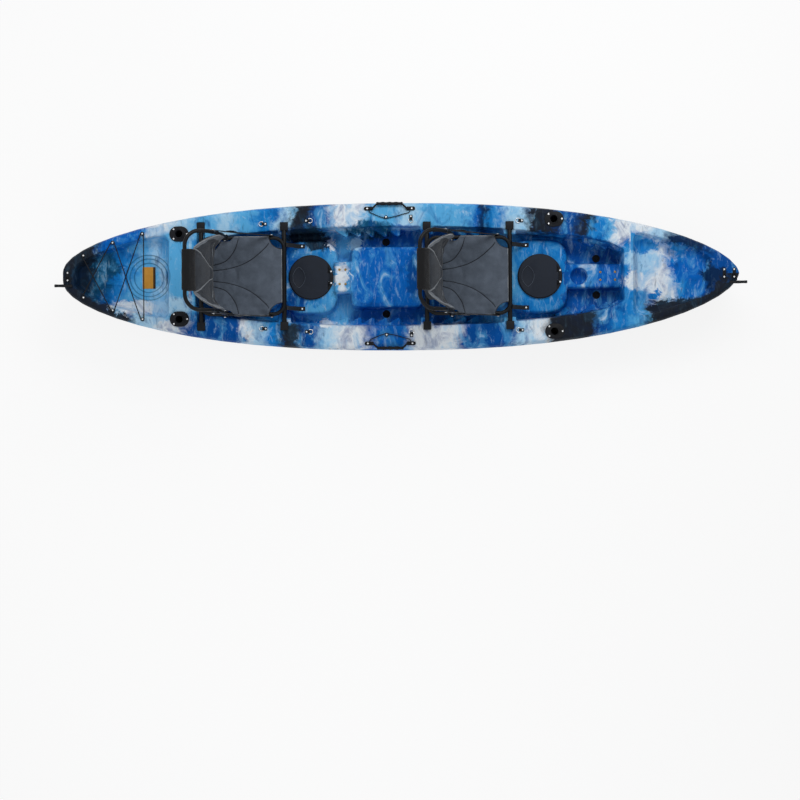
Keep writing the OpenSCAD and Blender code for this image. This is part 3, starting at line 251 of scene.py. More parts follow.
def deck_z(x):
    return DECK + np.where(np.asarray(x) < 0, 0.09 * share(x) ** 1.5, 0.095 * share(x) ** 6)


def deck_slope(x, step=0.001):
    return math.atan((float(deck_z(x + step)) - float(deck_z(x - step))) / (2 * step))


def chine_z(x):
    aft = 0.135 * (np.maximum(0, CHINE_LOW_X - x) / (HALF_LEN + CHINE_LOW_X)) ** 2
    fore = 0.215 * (np.maximum(0, x - CHINE_LOW_X) / (HALF_LEN - CHINE_LOW_X)) ** 2.4
    return CHINE_LOW + np.where(np.asarray(x) < CHINE_LOW_X, aft, fore)


print("deck edge", [round(float(deck_z(x)), 3) for x in (-1.9, 0, 1.9)], "m at stern, middle and bow")

# %% [markdown]
# Shock cord and tie cords are one long thin form that runs round posts and knobs. A curve could do it,
# but the braid has to follow the cord, so a tube is laid along a smooth line through the CAD route's
# points, with a UV map that counts metres along the cord and turns round it.

# %% Smooth routes
def activate(piece):
    """Leaves only this piece selected and active."""
    bpy.ops.object.select_all(action="DESELECT")
    piece.select_set(True)
    bpy.context.view_layer.objects.active = piece


def smooth_route(points, steps):
    """A smooth line through points, in steps; short gaps beside long ones make no loops."""
    p = [np.asarray(q, float) for q in points]
    p = [2 * p[0] - p[1]] + p + [2 * p[-1] - p[-2]]
    line = []
    for a, b, c, d in zip(p, p[1:], p[2:], p[3:]):
        before, here, after = (float(np.linalg.norm(v)) ** 0.5 for v in (b - a, c - b, d - c))
        for k in range(steps):
            t = here * k / steps
            ab, bc = b + (b - a) * t / before, b + (c - b) * t / here
            cd = c + (d - c) * (t - here) / after
            first = ab + (bc - ab) * (before + t) / (before + here)
            second = bc + (cd - bc) * t / (here + after)
            line.append(first + (second - first) * t / here)
    return line + [p[-2]]


def length_of(line):
    return sum(float(np.linalg.norm(b - a)) for a, b in zip(line, line[1:]))


def ring_frames(line):
    """Two directions across the line at each of its points, that don't twist."""
    along = [line[min(i + 1, len(line) - 1)] - line[max(i - 1, 0)] for i in range(len(line))]
    along = [v / np.linalg.norm(v) for v in along]
    side = np.cross(along[0], (0, 0, 1) if abs(along[0][2]) < 0.9 else (1, 0, 0))
    frames = []
    for t in along:
        side = side - t * side.dot(t)
        side = side / np.linalg.norm(side)
        frames.append((side, np.cross(t, side)))
    return frames


print("routes ready")

# %% Tubes along a route
def lay_tube(name, line, radius, sides=12, shape=None):
    """A closed tube along a line; shape gives another outline than a circle, as (across, up) pairs."""
    angles = [2 * math.pi * k / sides for k in range(sides)]
    shape = shape or [(radius * math.cos(a), radius * math.sin(a)) for a in angles]
    count, verts, faces, uvs = len(shape), [], [], []
    run = np.concatenate([[0], np.cumsum([np.linalg.norm(b - a) for a, b in zip(line, line[1:])])])
    for q, (a, b) in zip(line, ring_frames(line)):
        verts += [tuple(q + u * a + v * b) for u, v in shape]
    for i in range(len(line) - 1):
        for k in range(count):
            n = (k + 1) % count
            faces.append((i * count + k, i * count + n, (i + 1) * count + n, (i + 1) * count + k))
            uvs += [(run[i + di], (k + dk) / count) for di, dk in ((0, 0), (0, 1), (1, 1), (1, 0))]
    for ring, order in ((0, range(count - 1, -1, -1)), (len(line) - 1, range(count))):
        faces.append(tuple(ring * count + k for k in order))
        uvs += [(run[ring], k / count) for k in order]
    mesh = bpy.data.meshes.new(name)
    mesh.from_pydata(verts, [], faces)
    layer = mesh.uv_layers.new(name="along")
    layer.data.foreach_set("uv", np.array(uvs, np.float32).ravel())
    piece = bpy.data.objects.new(name, mesh)
    bpy.context.collection.objects.link(piece)
    activate(piece)
    bpy.ops.object.shade_smooth_by_angle(angle=math.radians(50))
    return piece


def hand_over(piece, material, body=None, node=None):
    """Gives a piece its material, the body it rides and the CAD node whose place it takes."""
    piece.data.materials.append(material)
    if body:
        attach(piece, body)
    if node:
        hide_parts(node)
    return piece


def as_cord(piece, line):
    """Prints a cord's name and the length of its line."""
    print(piece.name, round(length_of(line), 3), "m long")


print("cord maker ready")

# %% [markdown]
# Shock cord: a rubber core in a braided black nylon sleeve. The eye sees a satin black line with a fine
# diagonal braid of about 1.5 mm strands; it is drawn at 3 mm, so that it still shows close up.

# %% Braided black cord
braid = finish_for("braided_nylon_cord", "#131417", 0.62)
uv = add(braid, "UVMap", uv_map="along")
scaled = add(braid, "Mapping", uv, Scale=(330, 8, 1))
strands = add(braid, "TexWave", scaled, wave_type="BANDS", bands_direction="DIAGONAL", Scale=0.32,
              Distortion=0).outputs["Fac"]
tone = add(braid, "ValToRGB", strands)
for element, colour in zip(tone.color_ramp.elements, ("#0B0B0D", "#24262A")):
    element.color = linear(colour)
relief = add(braid, "Bump", Strength=0.5, Distance=0.0006, Height=strands)
feed(braid, Base_Color=tone, Normal=relief)
print("braid ready")

# %% Tankwell bungee round its six posts
BUNGEE_D, POST_R, POST_INSET, LACE_LIFT, CROSS_LIFT = 0.006, 0.007, 0.039, 0.0084, 0.007
WRAP_R = POST_R / math.cos(math.radians(22.5)) + 0.0009
POST_X = (-1.785, -1.622, -1.456)
# Each post in turn: its place along, its side, the first angle and the way round
TURNS = [(0, 1, -40, 1), (1, -1, -70, 1), (2, 1, -70, -1),
         (2, -1, -70, -1), (1, 1, -70, 1), (0, -1, -95, 1)]


def wrap(i, side, start, way):
    """Four points of the cord round one post."""
    x = POST_X[i]
    y, z = side * (float(half_w(x)) - POST_INSET), float(deck_z(x)) + LACE_LIFT
    turn = [math.radians(side * 90 + way * (start + k * 45)) for k in range(4)]
    return [np.array((x + WRAP_R * math.cos(a), y + WRAP_R * math.sin(a), z)) for a in turn]


def span(first, second, lift):
    """The straight run from one post to the next, raised in its middle over another run."""
    p, q = first[-1], second[0]
    return [p + (q - p) * part + np.array((0, 0, rise))
            for part, rise in ((0.03, 0), (0.3, lift), (0.7, lift), (0.97, 0))]


wraps = [wrap(*turn) for turn in TURNS]
lacing = list(wraps[0])
for i, (first, second) in enumerate(zip(wraps, wraps[1:])):
    lacing += span(first, second, CROSS_LIFT if i > 2 else 0.0) + second
line = smooth_route(lacing, 4)
bungee = lay_tube("tankwell_shock_cord", line, BUNGEE_D / 2)
as_cord(hand_over(bungee, braid, "boat", "tankwell_bungee"), line)

# %% Paddle keepers
SIDES = {"port": 1, "starboard": -1}
CORD_D, KEEPER_LIFT = 0.005, 0.007
lug_y = float(half_w(-0.063)) - 0.038
KEEPER = [(-0.181, lug_y - 0.0118), (-0.173, lug_y - 0.022), (-0.147, 0.348), (-0.121, 0.337),
          (-0.097, 0.3292), (-0.088, 0.3259), (-0.078, 0.3259), (-0.069, 0.3292), (-0.029, 0.337),
          (0.011, 0.349), (0.047, lug_y - 0.022), (0.055, lug_y - 0.0118)]
for side, sign in SIDES.items():
    line = smooth_route([(x, sign * y, float(deck_z(x)) + KEEPER_LIFT) for x, y in KEEPER], 4)
    keeper = lay_tube(side + "_paddle_keeper", line, CORD_D / 2)
    as_cord(hand_over(keeper, braid, "boat", side + "_paddle_bungee"), line)

# %% Cords of the carrying toggles
EYE_LIFT = 0.0006
HALF_TIE = [(0.006, 0, 0.0068), (0.012, -0.007, 0.0074),
            (0.014, -0.022, 0.0085), (0.014, -0.0432, 0.0085)]
TIE = [(-x, y, z) for x, y, z in HALF_TIE[::-1]] + HALF_TIE
for end, eye_x in (("bow", 1.874), ("stern", -1.874)):
    lean, foot = deck_slope(eye_x), float(deck_z(eye_x)) + EYE_LIFT
    line = smooth_route([(eye_x + x * math.cos(lean) - z * math.sin(lean), y,
                          foot + x * math.sin(lean) + z * math.cos(lean)) for x, y, z in TIE], 4)
    tie = lay_tube(end + "_toggle_tie", line, CORD_D / 2)
    hand_over(tie, braid, node=end + "_toggle_cord")
    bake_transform(tie, "boat", end + "_grip", start=(eye_x, -0.006, foot), end=(eye_x, -0.040, foot))
    as_cord(tie, line)

# %% [markdown]
# The hull is formed in a rotating mould, so it has no sharp edges: every wall runs into the next with a
# soft radius. Rounding hundreds of CAD edges with bevels would break at the saw-tooth footrests, so the
# copy of the CAD hull is rebuilt from small voxels instead, and then smoothed. The thin wall can't be
# rebuilt that way. The skin outside and the skin inside are first parted at the hatch and rod holder
# openings; the outside is closed and rebuilt, and the inside stays as a coarse skin that is seen when a
# hatch is open.

# %% Mesh tools
def points_of(piece, what="co"):
    """One row for each point of a mesh: its place, or its normal."""
    flat = np.empty(len(piece.data.vertices) * 3)
    piece.data.vertices.foreach_get(what, flat)
    return flat.reshape(-1, 3)


def put(piece, co):
    piece.data.vertices.foreach_set("co", np.asarray(co, np.float32).ravel())
    piece.data.update()


def weld(piece, gap):
    """Merges the points that lie within a gap of each other."""
    activate(piece)
    bpy.ops.object.mode_set(mode="EDIT")
    bpy.ops.mesh.select_all(action="SELECT")
    bpy.ops.mesh.remove_doubles(threshold=gap)
    bpy.ops.object.mode_set(mode="OBJECT")


def copy_of(node, name):
    """A merged copy of a CAD node's mesh."""
    piece = bpy.data.objects.new(name, nodes[node].data.copy())
    bpy.context.collection.objects.link(piece)
    piece.data.materials.clear()
    weld(piece, 0.00002)
    return piece


def delete_faces(piece, chosen):
    """Deletes the faces whose corners are all chosen."""
    activate(piece)
    for parts in (piece.data.polygons, piece.data.edges, piece.data.vertices):
        parts.foreach_set("select", np.zeros(len(parts), bool))
    for face in piece.data.polygons:
        face.select = bool(chosen[list(face.vertices)].all())
    bpy.ops.object.mode_set(mode="EDIT")
    bpy.ops.mesh.select_mode(type="FACE")
    bpy.ops.mesh.delete(type="FACE")
    bpy.ops.mesh.select_mode(type="VERT")
    bpy.ops.object.mode_set(mode="OBJECT")


def apply_modifier(piece, kind, **settings):
    """Adds a modifier with its settings and applies it."""
    activate(piece)
    bpy.ops.object.modifier_add(type=kind)
    made = piece.modifiers[-1]
    for key, value in settings.items():
        setattr(made, key, value)
    bpy.ops.object.modifier_apply(modifier=made.name)


print("mesh tools ready")

# %% Join the ten lengths of the CAD hull into one moulding
JOINT_X = np.array((-1.205, -0.710, -0.512, -0.270, 0.195, 0.560, 0.791, 0.920, 1.295))
JOINT_GAP = 0.0002
hull = copy_of("hull_shell", "moulded_hull")
co = points_of(hull)
on_joint = np.abs(np.abs(co[:, :1] - JOINT_X) - JOINT_GAP / 2) < JOINT_GAP / 4
delete_faces(hull, on_joint.any(axis=1))
weld(hull, 0.00025)
print("one moulding of", len(hull.data.polygons), "faces")

# %% Cut the edges of the openings away, so that outside and inside part
HATCH_X, HATCH_R, HATCH_Z, ROD_R = {"aft": -0.512, "front": 0.791}, 0.102, 0.2025, 0.0257
ROD_HOLES = [(np.array(mount["pos_m"], float), np.array(mount["axis"], float))
             for mount in frame["record"]["mounts"] if "rod" in mount["name"]]


def from_axis(co, place, axis):
    """How far points lie along an axis from a place, and how far off the axis."""
    deep = (co - place) @ axis
    return deep, np.linalg.norm((co - place) - np.outer(deep, axis), axis=1)


co = points_of(hull)
rim = np.zeros(len(co), bool)
for x in HATCH_X.values():
    rim |= ((np.abs(np.hypot(co[:, 0] - x, co[:, 1]) - HATCH_R) < 0.0012)
            & (np.abs(co[:, 2] - HATCH_Z) < 0.004))
for place, axis in ROD_HOLES:
    rim |= np.abs(from_axis(co, place, axis)[1] - ROD_R) < 0.0015
delete_faces(hull, rim)
co = points_of(hull)
hull.data.vertices.foreach_set("select", np.arange(len(co)) == int(np.argmin(co[:, 2])))
bpy.ops.object.mode_set(mode="EDIT")
bpy.ops.mesh.select_linked()
bpy.ops.mesh.select_all(action="INVERT")
bpy.ops.mesh.separate(type="SELECTED")
bpy.ops.object.mode_set(mode="OBJECT")
lining = [o for o in bpy.context.selected_objects if o is not hull][0]
lining.name = "hull_lining"
print("outer skin", len(hull.data.polygons), "faces, inner skin", len(lining.data.polygons), "faces")

# %% Close the outer skin and rebuild it with soft radii
activate(hull)
bpy.ops.object.mode_set(mode="EDIT")
bpy.ops.mesh.select_all(action="DESELECT")
bpy.ops.mesh.select_non_manifold()
bpy.ops.mesh.fill_holes(sides=0)
bpy.ops.object.mode_set(mode="OBJECT")
apply_modifier(hull, "REMESH", mode="VOXEL", voxel_size=0.005)
apply_modifier(hull, "SMOOTH", factor=0.5, iterations=5)
print("rebuilt hull", len(hull.data.polygons), "faces")

# %% Distance from the outer skin
def half_section(x):
    """Points of the outer skin from keel to deck edge at each x: arrays of distance out and height."""
    b, s = half_w(x), deck_z(x)
    level_to = np.where(x < 0, 1.25, 1.3)
    k = 0.25 * (np.maximum(0, np.abs(x) - level_to) / (HALF_LEN - level_to)) ** 2.1
    r = s - (0.032 + 0.038 * (1 - share(x) ** 2))
    c = np.minimum(np.maximum(chine_z(x), k + 0.012), r - 0.006)
    e, d = 0.026 * np.minimum(1, b / 0.07), c - k
    return [(0 * b, k), (np.minimum(0.07, 0.3 * b), k), (0.44 * b, k + 0.15 * d), (0.6 * b, k + 0.06 * d),
            (0.72 * b, k + 0.12 * d), (0.86 * b, k + 0.5 * d), (0.95 * b, c), (b, r),
            (b - 0.35 * e, s - 0.6 * e), (b - 0.62 * e, s - 0.18 * e)]


def skin_distance(co):
    """Distance of points from the outer skin, height of chine and crease there, and nearest places."""
    x, y = np.clip(co[:, 0], -HALF_LEN, HALF_LEN), np.abs(co[:, 1])
    points, best, nearest = half_section(x), np.full(len(co), 9.0), co.copy()
    for (y0, z0), (y1, z1) in zip(points, points[1:]):
        dy, dz = y1 - y0, z1 - z0
        t = np.clip(((y - y0) * dy + (co[:, 2] - z0) * dz) / (dy * dy + dz * dz + 1e-12), 0, 1)
        off = np.hypot(y - y0 - t * dy, co[:, 2] - z0 - t * dz)
        nearest[:, 1] = np.where(off < best, np.sign(co[:, 1]) * (y0 + t * dy), nearest[:, 1])
        nearest[:, 2] = np.where(off < best, z0 + t * dz, nearest[:, 2])
        best = np.minimum(best, off)
    return best, points[6][1], points[7][1], nearest


print("section of", len(half_section(np.zeros(1))), "points a side")

# %% Fair the outer sides
co = points_of(hull)
off, chine, crease, nearest = skin_distance(co)
flank = (off < 0.012) & (co[:, 2] < crease - 0.02) & (np.abs(co[:, 2] - chine) > 0.012)
group = hull.vertex_groups.new(name="outer_sides")
group.add([int(i) for i in np.nonzero(flank)[0]], 1.0, "REPLACE")
fair = flank & (np.abs(co[:, 0]) < HALF_LEN - 0.03)
co[fair] = nearest[fair]
put(hull, co)
apply_modifier(hull, "SMOOTH", factor=0.5, iterations=30, vertex_group="outer_sides")
hull.vertex_groups.clear()
print("sides faired at", int(flank.sum()), "points")

# %% Press the round stepped recess of the tankwell back in, which the smoothing washed out
RECESS_X, RECESS_TOP, RECESS_STEP, RECESS_RADII = -1.43, 0.268, 0.006, (0.128, 0.107, 0.083)
co = points_of(hull)
from_centre = np.hypot(co[:, 0] - RECESS_X, co[:, 1])
faces_up = points_of(hull, "normal")[:, 2] > 0.4
pressed = (from_centre < 0.131) & (co[:, 2] > 0.235) & (co[:, 2] < 0.285) & faces_up
steps = sum((from_centre < radius).astype(float) for radius in RECESS_RADII)
co[pressed, 2] = RECESS_TOP - RECESS_STEP * steps[pressed]
put(hull, co)
print("recess pressed at", int(pressed.sum()), "points")

# %% Open the hatch mouths and the rod holes again
MOST_TRIANGLES = 190000
co = points_of(hull)
mouth = np.zeros(len(co), bool)
for x in HATCH_X.values():
    mouth |= (np.hypot(co[:, 0] - x, co[:, 1]) < 0.1) & (co[:, 2] > 0.19) & (co[:, 2] < 0.215)
for place, axis in ROD_HOLES:
    deep, off = from_axis(co, place, axis)
    mouth |= (off < 0.030) & (np.abs(deep) < 0.02)
delete_faces(hull, mouth)
apply_modifier(hull, "DECIMATE", ratio=min(1.0, MOST_TRIANGLES / (2 * len(hull.data.polygons))))
activate(hull)
bpy.ops.object.shade_smooth()
activate(lining)
bpy.ops.object.shade_smooth_by_angle(angle=math.radians(30))
print("hull", len(hull.data.polygons), "faces after thinning")

# %% Mark where the paint changes
TANKWELL_END, BOW_WELL_START, ELSEWHERE = -1.235, 1.295, -0.2
co = points_of(hull)
off, chine, crease, _ = skin_distance(co)
bottom_reach = np.where(np.abs(co[:, 0]) > 1.85, 0.06, 0.02)
below = np.where(off < bottom_reach, chine - co[:, 2], ELSEWHERE)
side = np.where(off < 0.02, crease - co[:, 2], ELSEWHERE)
inset = np.where(co[:, 0] < TANKWELL_END, 0.052, np.where(co[:, 0] < BOW_WELL_START, 0.125, 0.046))
rim = np.abs(co[:, 1]) - (half_w(np.clip(co[:, 0], -HALF_LEN, HALF_LEN)) - inset)
for name, value in (("below_chine", below), ("below_crease", side), ("deck_rim", rim)):
    mark = hull.data.attributes.new(name, "FLOAT", "POINT")
    mark.data.foreach_set("value", value.astype(np.float32))
print("points below the chine", int((below > 0).sum()), "and on the sides", int((side > 0).sum()))

# %% [markdown]
# Rotomoulded polyethylene: powder of several blues, white and black is thrown into the mould by hand
# before it is heated, so big patches melt into each other with bleeding, streaky edges and flecks. It
# looks satin and a little waxy, with a faint orange peel of some millimetres. The patches are laid along
# the boat in colour ramps, for each deck side, the wells and the sides; warped noise frays their edges,
# and single daubs go on top.

# %% Frayed places for the camouflage
PAINT = {"black": "#1B2029", "navy": "#08264C", "deep": "#034A96", "blue": "#0561BA", "mid": "#167CC9",
         "sky": "#58ABE0", "pale": "#A9D2EE", "white": "#E2EAF1", "ink": "#14263A", "teal": "#0B4A70"}
REACH = 1.95  # the ramps run this far fore and aft
plastic = finish_for("rotomoulded_polyethylene", PAINT["blue"], 0.42, specular=0.05)


def swayed(spot, shift, width):
    """A place moved by noise, up to half a width either way."""
    moved = add(plastic, "Math", shift, width, -width / 2, operation="MULTIPLY_ADD")
    return add(plastic, "Math", spot, moved, operation="ADD")


place = add(plastic, "TexCoord").outputs["Object"]
parts = add(plastic, "SeparateXYZ", place)
large = add(plastic, "TexNoise", place, Scale=3.4, Detail=4, Roughness=0.6, Distortion=0.4)
frayed = add(plastic, "TexNoise", place, Scale=21, Detail=7, Roughness=0.68, Distortion=0.8)
shifts = add(plastic, "SeparateColor", large.outputs["Color"])
along = swayed(swayed(parts.outputs["X"], shifts.outputs[0], 0.24), frayed, 0.17)
spot = add(plastic, "MapRange", along, -REACH, REACH)
centred = add(plastic, "VectorMath", frayed.outputs["Color"], (0.5, 0.5, 0.5), operation="SUBTRACT")
warped = add(plastic, "VectorMath", centred, (0.16, 0.13, 0), place, operation="MULTIPLY_ADD")
print("places frayed")

# %% Bands along the boat: where each one starts, and its paint
BANDS = {
    "wells": [(-1.95, "ink"), (-1.74, "teal"), (-1.64, "mid"), (-1.53, "sky"), (-1.40, "pale"),
              (-1.34, "sky"), (-1.18, "mid"), (-0.70, "blue"), (-0.55, "mid"), (-0.42, "sky"),
              (-0.28, "blue"), (0.12, "deep"), (0.28, "mid"), (0.52, "sky"), (0.66, "mid")],
    "wells_fore": [(-1.95, "deep"), (0.98, "blue"), (1.08, "deep"), (1.24, "mid"), (1.33, "sky"),
                   (1.40, "white"), (1.52, "mid"), (1.60, "blue"), (1.70, "navy")],
    "port": [(-1.95, "black"), (-1.70, "blue"), (-1.41, "white"), (-1.30, "pale"), (-1.19, "sky"),
             (-1.05, "pale"), (-0.95, "sky"), (-0.82, "mid"), (-0.69, "pale"), (-0.63, "black"),
             (-0.505, "deep"), (-0.376, "white"), (-0.19, "sky"), (0.0, "pale"), (0.12, "sky"),
             (0.37, "blue")],
    "port_fore": [(-1.95, "blue"), (0.427, "navy"), (0.49, "mid"), (0.573, "pale"), (0.707, "black"),
                  (0.898, "deep"), (1.027, "black"), (1.106, "mid"), (1.16, "sky"), (1.20, "white"),
                  (1.40, "pale"), (1.516, "navy"), (1.70, "deep")],
    "star": [(-1.95, "black"), (-1.53, "pale"), (-1.40, "white"), (-1.25, "deep"), (-0.91, "white"),
             (-0.86, "pale"), (-0.78, "mid"), (-0.70, "black"), (-0.556, "deep"), (-0.449, "pale"),
             (-0.365, "white"), (-0.196, "blue"), (0.073, "white"), (0.342, "deep")],
    "star_fore": [(-1.95, "deep"), (0.64, "pale"), (0.72, "white"), (0.82, "black"), (1.10, "deep"),
                  (1.20, "mid"), (1.29, "sky"), (1.38, "black")],
    "sides": [(-1.95, "black"), (-1.527, "blue"), (-1.21, "black"), (-1.17, "blue"), (-1.02, "white"),
              (-0.825, "pale"), (-0.713, "black"), (-0.168, "blue"), (0.213, "pale"), (0.30, "white"),
              (0.40, "sky"), (0.477, "black"), (0.634, "blue"), (0.69, "black"), (0.775, "deep")],
    "sides_fore": [(-1.95, "deep"), (0.915, "pale"), (0.96, "black"), (1.27, "blue"), (1.38, "sky"),
                   (1.52, "pale"), (1.62, "black")]}


def patches(bands, edge=0.035):
    """A colour ramp along the boat, in which each band melts into the last one."""
    ramp = add(plastic, "ValToRGB", spot)
    stops = []
    for i, (x, colour) in enumerate(bands):
        beside = [other for other, _ in bands[max(0, i - 1):i + 2] if other != x]
        melt = min([edge] + [0.4 * abs(x - other) for other in beside])
        if i:
            stops.append(((x - melt + REACH) / (2 * REACH), bands[i - 1][1]))
        stops.append(((x + melt + REACH) / (2 * REACH), colour))
    while len(ramp.color_ramp.elements) < len(stops):
        ramp.color_ramp.elements.new(0.5)
    for element, (position, colour) in zip(ramp.color_ramp.elements, stops):
        element.position = max(0, min(1, position))
        element.color = linear(PAINT[colour])
    return ramp


ramps = {name: patches(bands) for name, bands in BANDS.items()}
print(len(ramps), "ramps laid")

# %% Where each ramp lies
bow_half = add(plastic, "MapRange", along, 0.396, 0.404)
fore_well = add(plastic, "MapRange", along, 0.95, 0.96)
fore_side = add(plastic, "MapRange", along, 0.84, 0.85)
rim_place = add(plastic, "Attribute", attribute_name="deck_rim").outputs["Fac"]
wander = add(plastic, "Math", shifts.outputs[1], 0.09, -0.045, operation="MULTIPLY_ADD")
wander = add(plastic, "Math", frayed, 0.08, wander, operation="MULTIPLY_ADD")
rim_edge = add(plastic, "Math", rim_place, wander, operation="ADD")
on_rim = add(plastic, "MapRange", rim_edge, 0.010, 0.034)
on_port = add(plastic, "Math", parts.outputs["Y"], 0.0, operation="GREATER_THAN")
port_rim = add(plastic, "Math", on_rim, on_port, operation="MULTIPLY")
star_rim = add(plastic, "Math", on_rim, port_rim, operation="SUBTRACT")
port_bow, star_bow = (add(plastic, "Math", rim_half, bow_half, operation="MULTIPLY")
                      for rim_half in (port_rim, star_rim))
paint = ramps["wells"]
for mask, name in ((fore_well, "wells_fore"), (port_rim, "port"), (port_bow, "port_fore"),
                   (star_rim, "star"), (star_bow, "star_fore")):
    paint = add(plastic, "Mix", mask, paint, ramps[name], data_type="RGBA")
print("deck painted")

# %% Single daubs on deck and in the wells: place along and across, half length, half width
DAUBS = [(-1.66, 0.06, 0.10, 0.08, "teal"), (-1.5, -0.17, 0.16, 0.05, "white"),
         (-1.28, -0.16, 0.12, 0.07, "pale"), (-0.55, 0.24, 0.15, 0.06, "ink"),
         (-0.47, 0.20, 0.10, 0.05, "ink"), (-0.40, 0.19, 0.025, 0.05, "white"),
         (-0.26, 0.19, 0.05, 0.05, "pale"), (-0.18, 0.27, 0.17, 0.05, "teal"),
         (-0.335, 0, 0.055, 0.10, "white"), (-0.50, -0.20, 0.12, 0.05, "sky"),
         (-0.42, -0.26, 0.06, 0.03, "white"), (-0.60, -0.12, 0.07, 0.05, "deep"),
         (-0.08, 0, 0.19, 0.16, "blue"), (0.08, 0, 0.06, 0.16, "deep"), (1.12, 0, 0.16, 0.07, "blue"),
         (1.36, 0.08, 0.12, 0.07, "pale"), (1.34, -0.03, 0.10, 0.06, "white"),
         (1.38, 0.17, 0.12, 0.05, "mid"), (1.60, 0.02, 0.09, 0.07, "blue"), (1.76, 0, 0.09, 0.05, "navy"),
         (1.55, -0.19, 0.22, 0.07, "black"), (1.44, -0.11, 0.05, 0.03, "mid")]
DAUB_Z, DAUB_TALL = 0.25, 2  # daubs go right through the height of the boat
for x, y, half_length, half_width, colour in DAUBS:
    spread = add(plastic, "Mapping", warped, vector_type="TEXTURE", Location=(x, y, DAUB_Z),
                 Scale=(half_length, half_width, DAUB_TALL))
    ball = add(plastic, "TexGradient", spread, gradient_type="SPHERICAL")
    mask = add(plastic, "MapRange", ball.outputs["Fac"], 0.03, 0.34)
    paint = add(plastic, "Mix", mask, paint, linear(PAINT[colour]), data_type="RGBA")
print(len(DAUBS), "daubs")

# %% Sides, streaks and swirls
drop = add(plastic, "Attribute", attribute_name="below_crease").outputs["Fac"]
on_side = add(plastic, "MapRange", swayed(drop, frayed, 0.07), -0.004, 0.012)
side_bow = add(plastic, "Math", on_side, fore_side, operation="MULTIPLY")
for mask, name in ((on_side, "sides"), (side_bow, "sides_fore")):
    paint = add(plastic, "Mix", mask, paint, ramps[name], data_type="RGBA")
streaks = add(plastic, "Mapping", place, Scale=(34, 11, 9), Rotation=(0, 0, 0.35))
marble = add(plastic, "TexNoise", streaks, Scale=1.0, Detail=8, Roughness=0.70, Distortion=0.7)
turned = add(plastic, "Mapping", place, Scale=(10, 6, 8), Rotation=(0, 0, 0.7))
swirls = add(plastic, "TexNoise", turned, Scale=1.0, Detail=7, Roughness=0.62, Distortion=1.0)
not_black = add(plastic, "MapRange", add(plastic, "RGBToBW", paint), 0.015, 0.06, To_Min=0.08)
FLECKS = [(swirls, 0.50, 0.64, 0.60, "sky"), (swirls, 0.47, 0.34, 0.55, "deep"),
          (marble, 0.54, 0.70, 0.6, "pale"), (marble, 0.43, 0.28, 0.6, "navy"),
          (swirls, 0.62, 0.72, 0.55, "white")]
for source, start, stop, strength, colour in FLECKS:
    flecks = add(plastic, "MapRange", source, start, stop, To_Max=strength)
    flecks = add(plastic, "Math", flecks, not_black, operation="MULTIPLY")
    paint = add(plastic, "Mix", flecks, paint, linear(PAINT[colour]), data_type="RGBA")
print("sides painted")

# %% Painted shade in the corners of the recess steps, drawn as dark rings
middle = add(plastic, "VectorMath", place, (RECESS_X, 0, 0), operation="SUBTRACT")
level = add(plastic, "VectorMath", middle, (1, 1, 0), operation="MULTIPLY")
reach = add(plastic, "VectorMath", level, operation="LENGTH")
# Each step radius gets a thin teal line of painted shade
for radius in RECESS_RADII:
    gap = add(plastic, "Math", reach, radius, operation="SUBTRACT")
    gap = add(plastic, "Math", gap, operation="ABSOLUTE")
    ring = add(plastic, "MapRange", gap, 0.0045, 0.0015, To_Max=0.55)
    paint = add(plastic, "Mix", ring, paint, linear(PAINT["teal"]), data_type="RGBA")
print(len(RECESS_RADII), "rings")

# %% Dark bottom and waxy surface
drop = add(plastic, "Attribute", attribute_name="below_chine").outputs["Fac"]
under = add(plastic, "MapRange", swayed(drop, frayed, 0.05), -0.001, 0.003)
ends = add(plastic, "ValToRGB", spot)
for position, colour in ((0.12, "#14181F"), (0.27, "#17506F"), (0.62, "#134566"), (0.86, "#13202E")):
    ends.color_ramp.elements.new(position).color = linear(colour)
ends.color_ramp.elements[0].color = linear("#12151B")
ends.color_ramp.elements[-1].color = linear("#101318")
soot = add(plastic, "MapRange", swirls, 0.45, 0.62, To_Max=0.7)
bottom = add(plastic, "Mix", soot, ends, linear("#0A1622"), data_type="RGBA")
paint = add(plastic, "Mix", under, paint, bottom, data_type="RGBA")
peel = add(plastic, "TexNoise", place, Scale=260, Detail=2)
relief = add(plastic, "Bump", Strength=0.10, Distance=0.0006, Height=peel)
waxy = add(plastic, "MapRange", frayed, To_Min=0.34, To_Max=0.52)
feed(plastic, Base_Color=paint, Roughness=waxy, Normal=relief)
hand_over(hull, plastic, "boat", "hull_shell")
hand_over(lining, plastic, "boat")
print("hull painted")

# %% [markdown]
# The fittings are moulded or turned, and no real edge is knife sharp: light always catches a thin line
# along it. Each one is a copy of its CAD node with flat faces merged, its edges eased by a fraction of a
# millimetre and its round faces shaded smooth, so every hole and axis stays where the CAD model has it.

# %% Black plastic, rubber, metals and card
def worn(name, dark, light, rough, grain, depth, metallic=0.0):
    """A solid finish: two close tones in soft clouds, a roughness that varies with them, fine grain."""
    material = finish_for(name, dark, rough[0], metallic)
    spot = add(material, "TexCoord").outputs["Object"]
    clouds = add(material, "TexNoise", spot, Scale=38, Detail=5, Roughness=0.62)
    tone = add(material, "Mix", clouds, linear(dark), linear(light), data_type="RGBA")
    gloss = add(material, "MapRange", clouds, 0.3, 0.7, To_Min=rough[0], To_Max=rough[1])
    pits = add(material, "TexNoise", spot, Scale=grain, Detail=2)
    relief = add(material, "Bump", Strength=0.35, Distance=depth, Height=pits)
    feed(material, Base_Color=tone, Roughness=gloss, Normal=relief)
    return material


# Glass-filled nylon of lugs, rims and blocks: nearly black, a 1 mm spark grain breaks up the shine
moulded_black = worn("grained_black_nylon", "#0C0D10", "#191B20", (0.42, 0.6), 850, 0.0004)
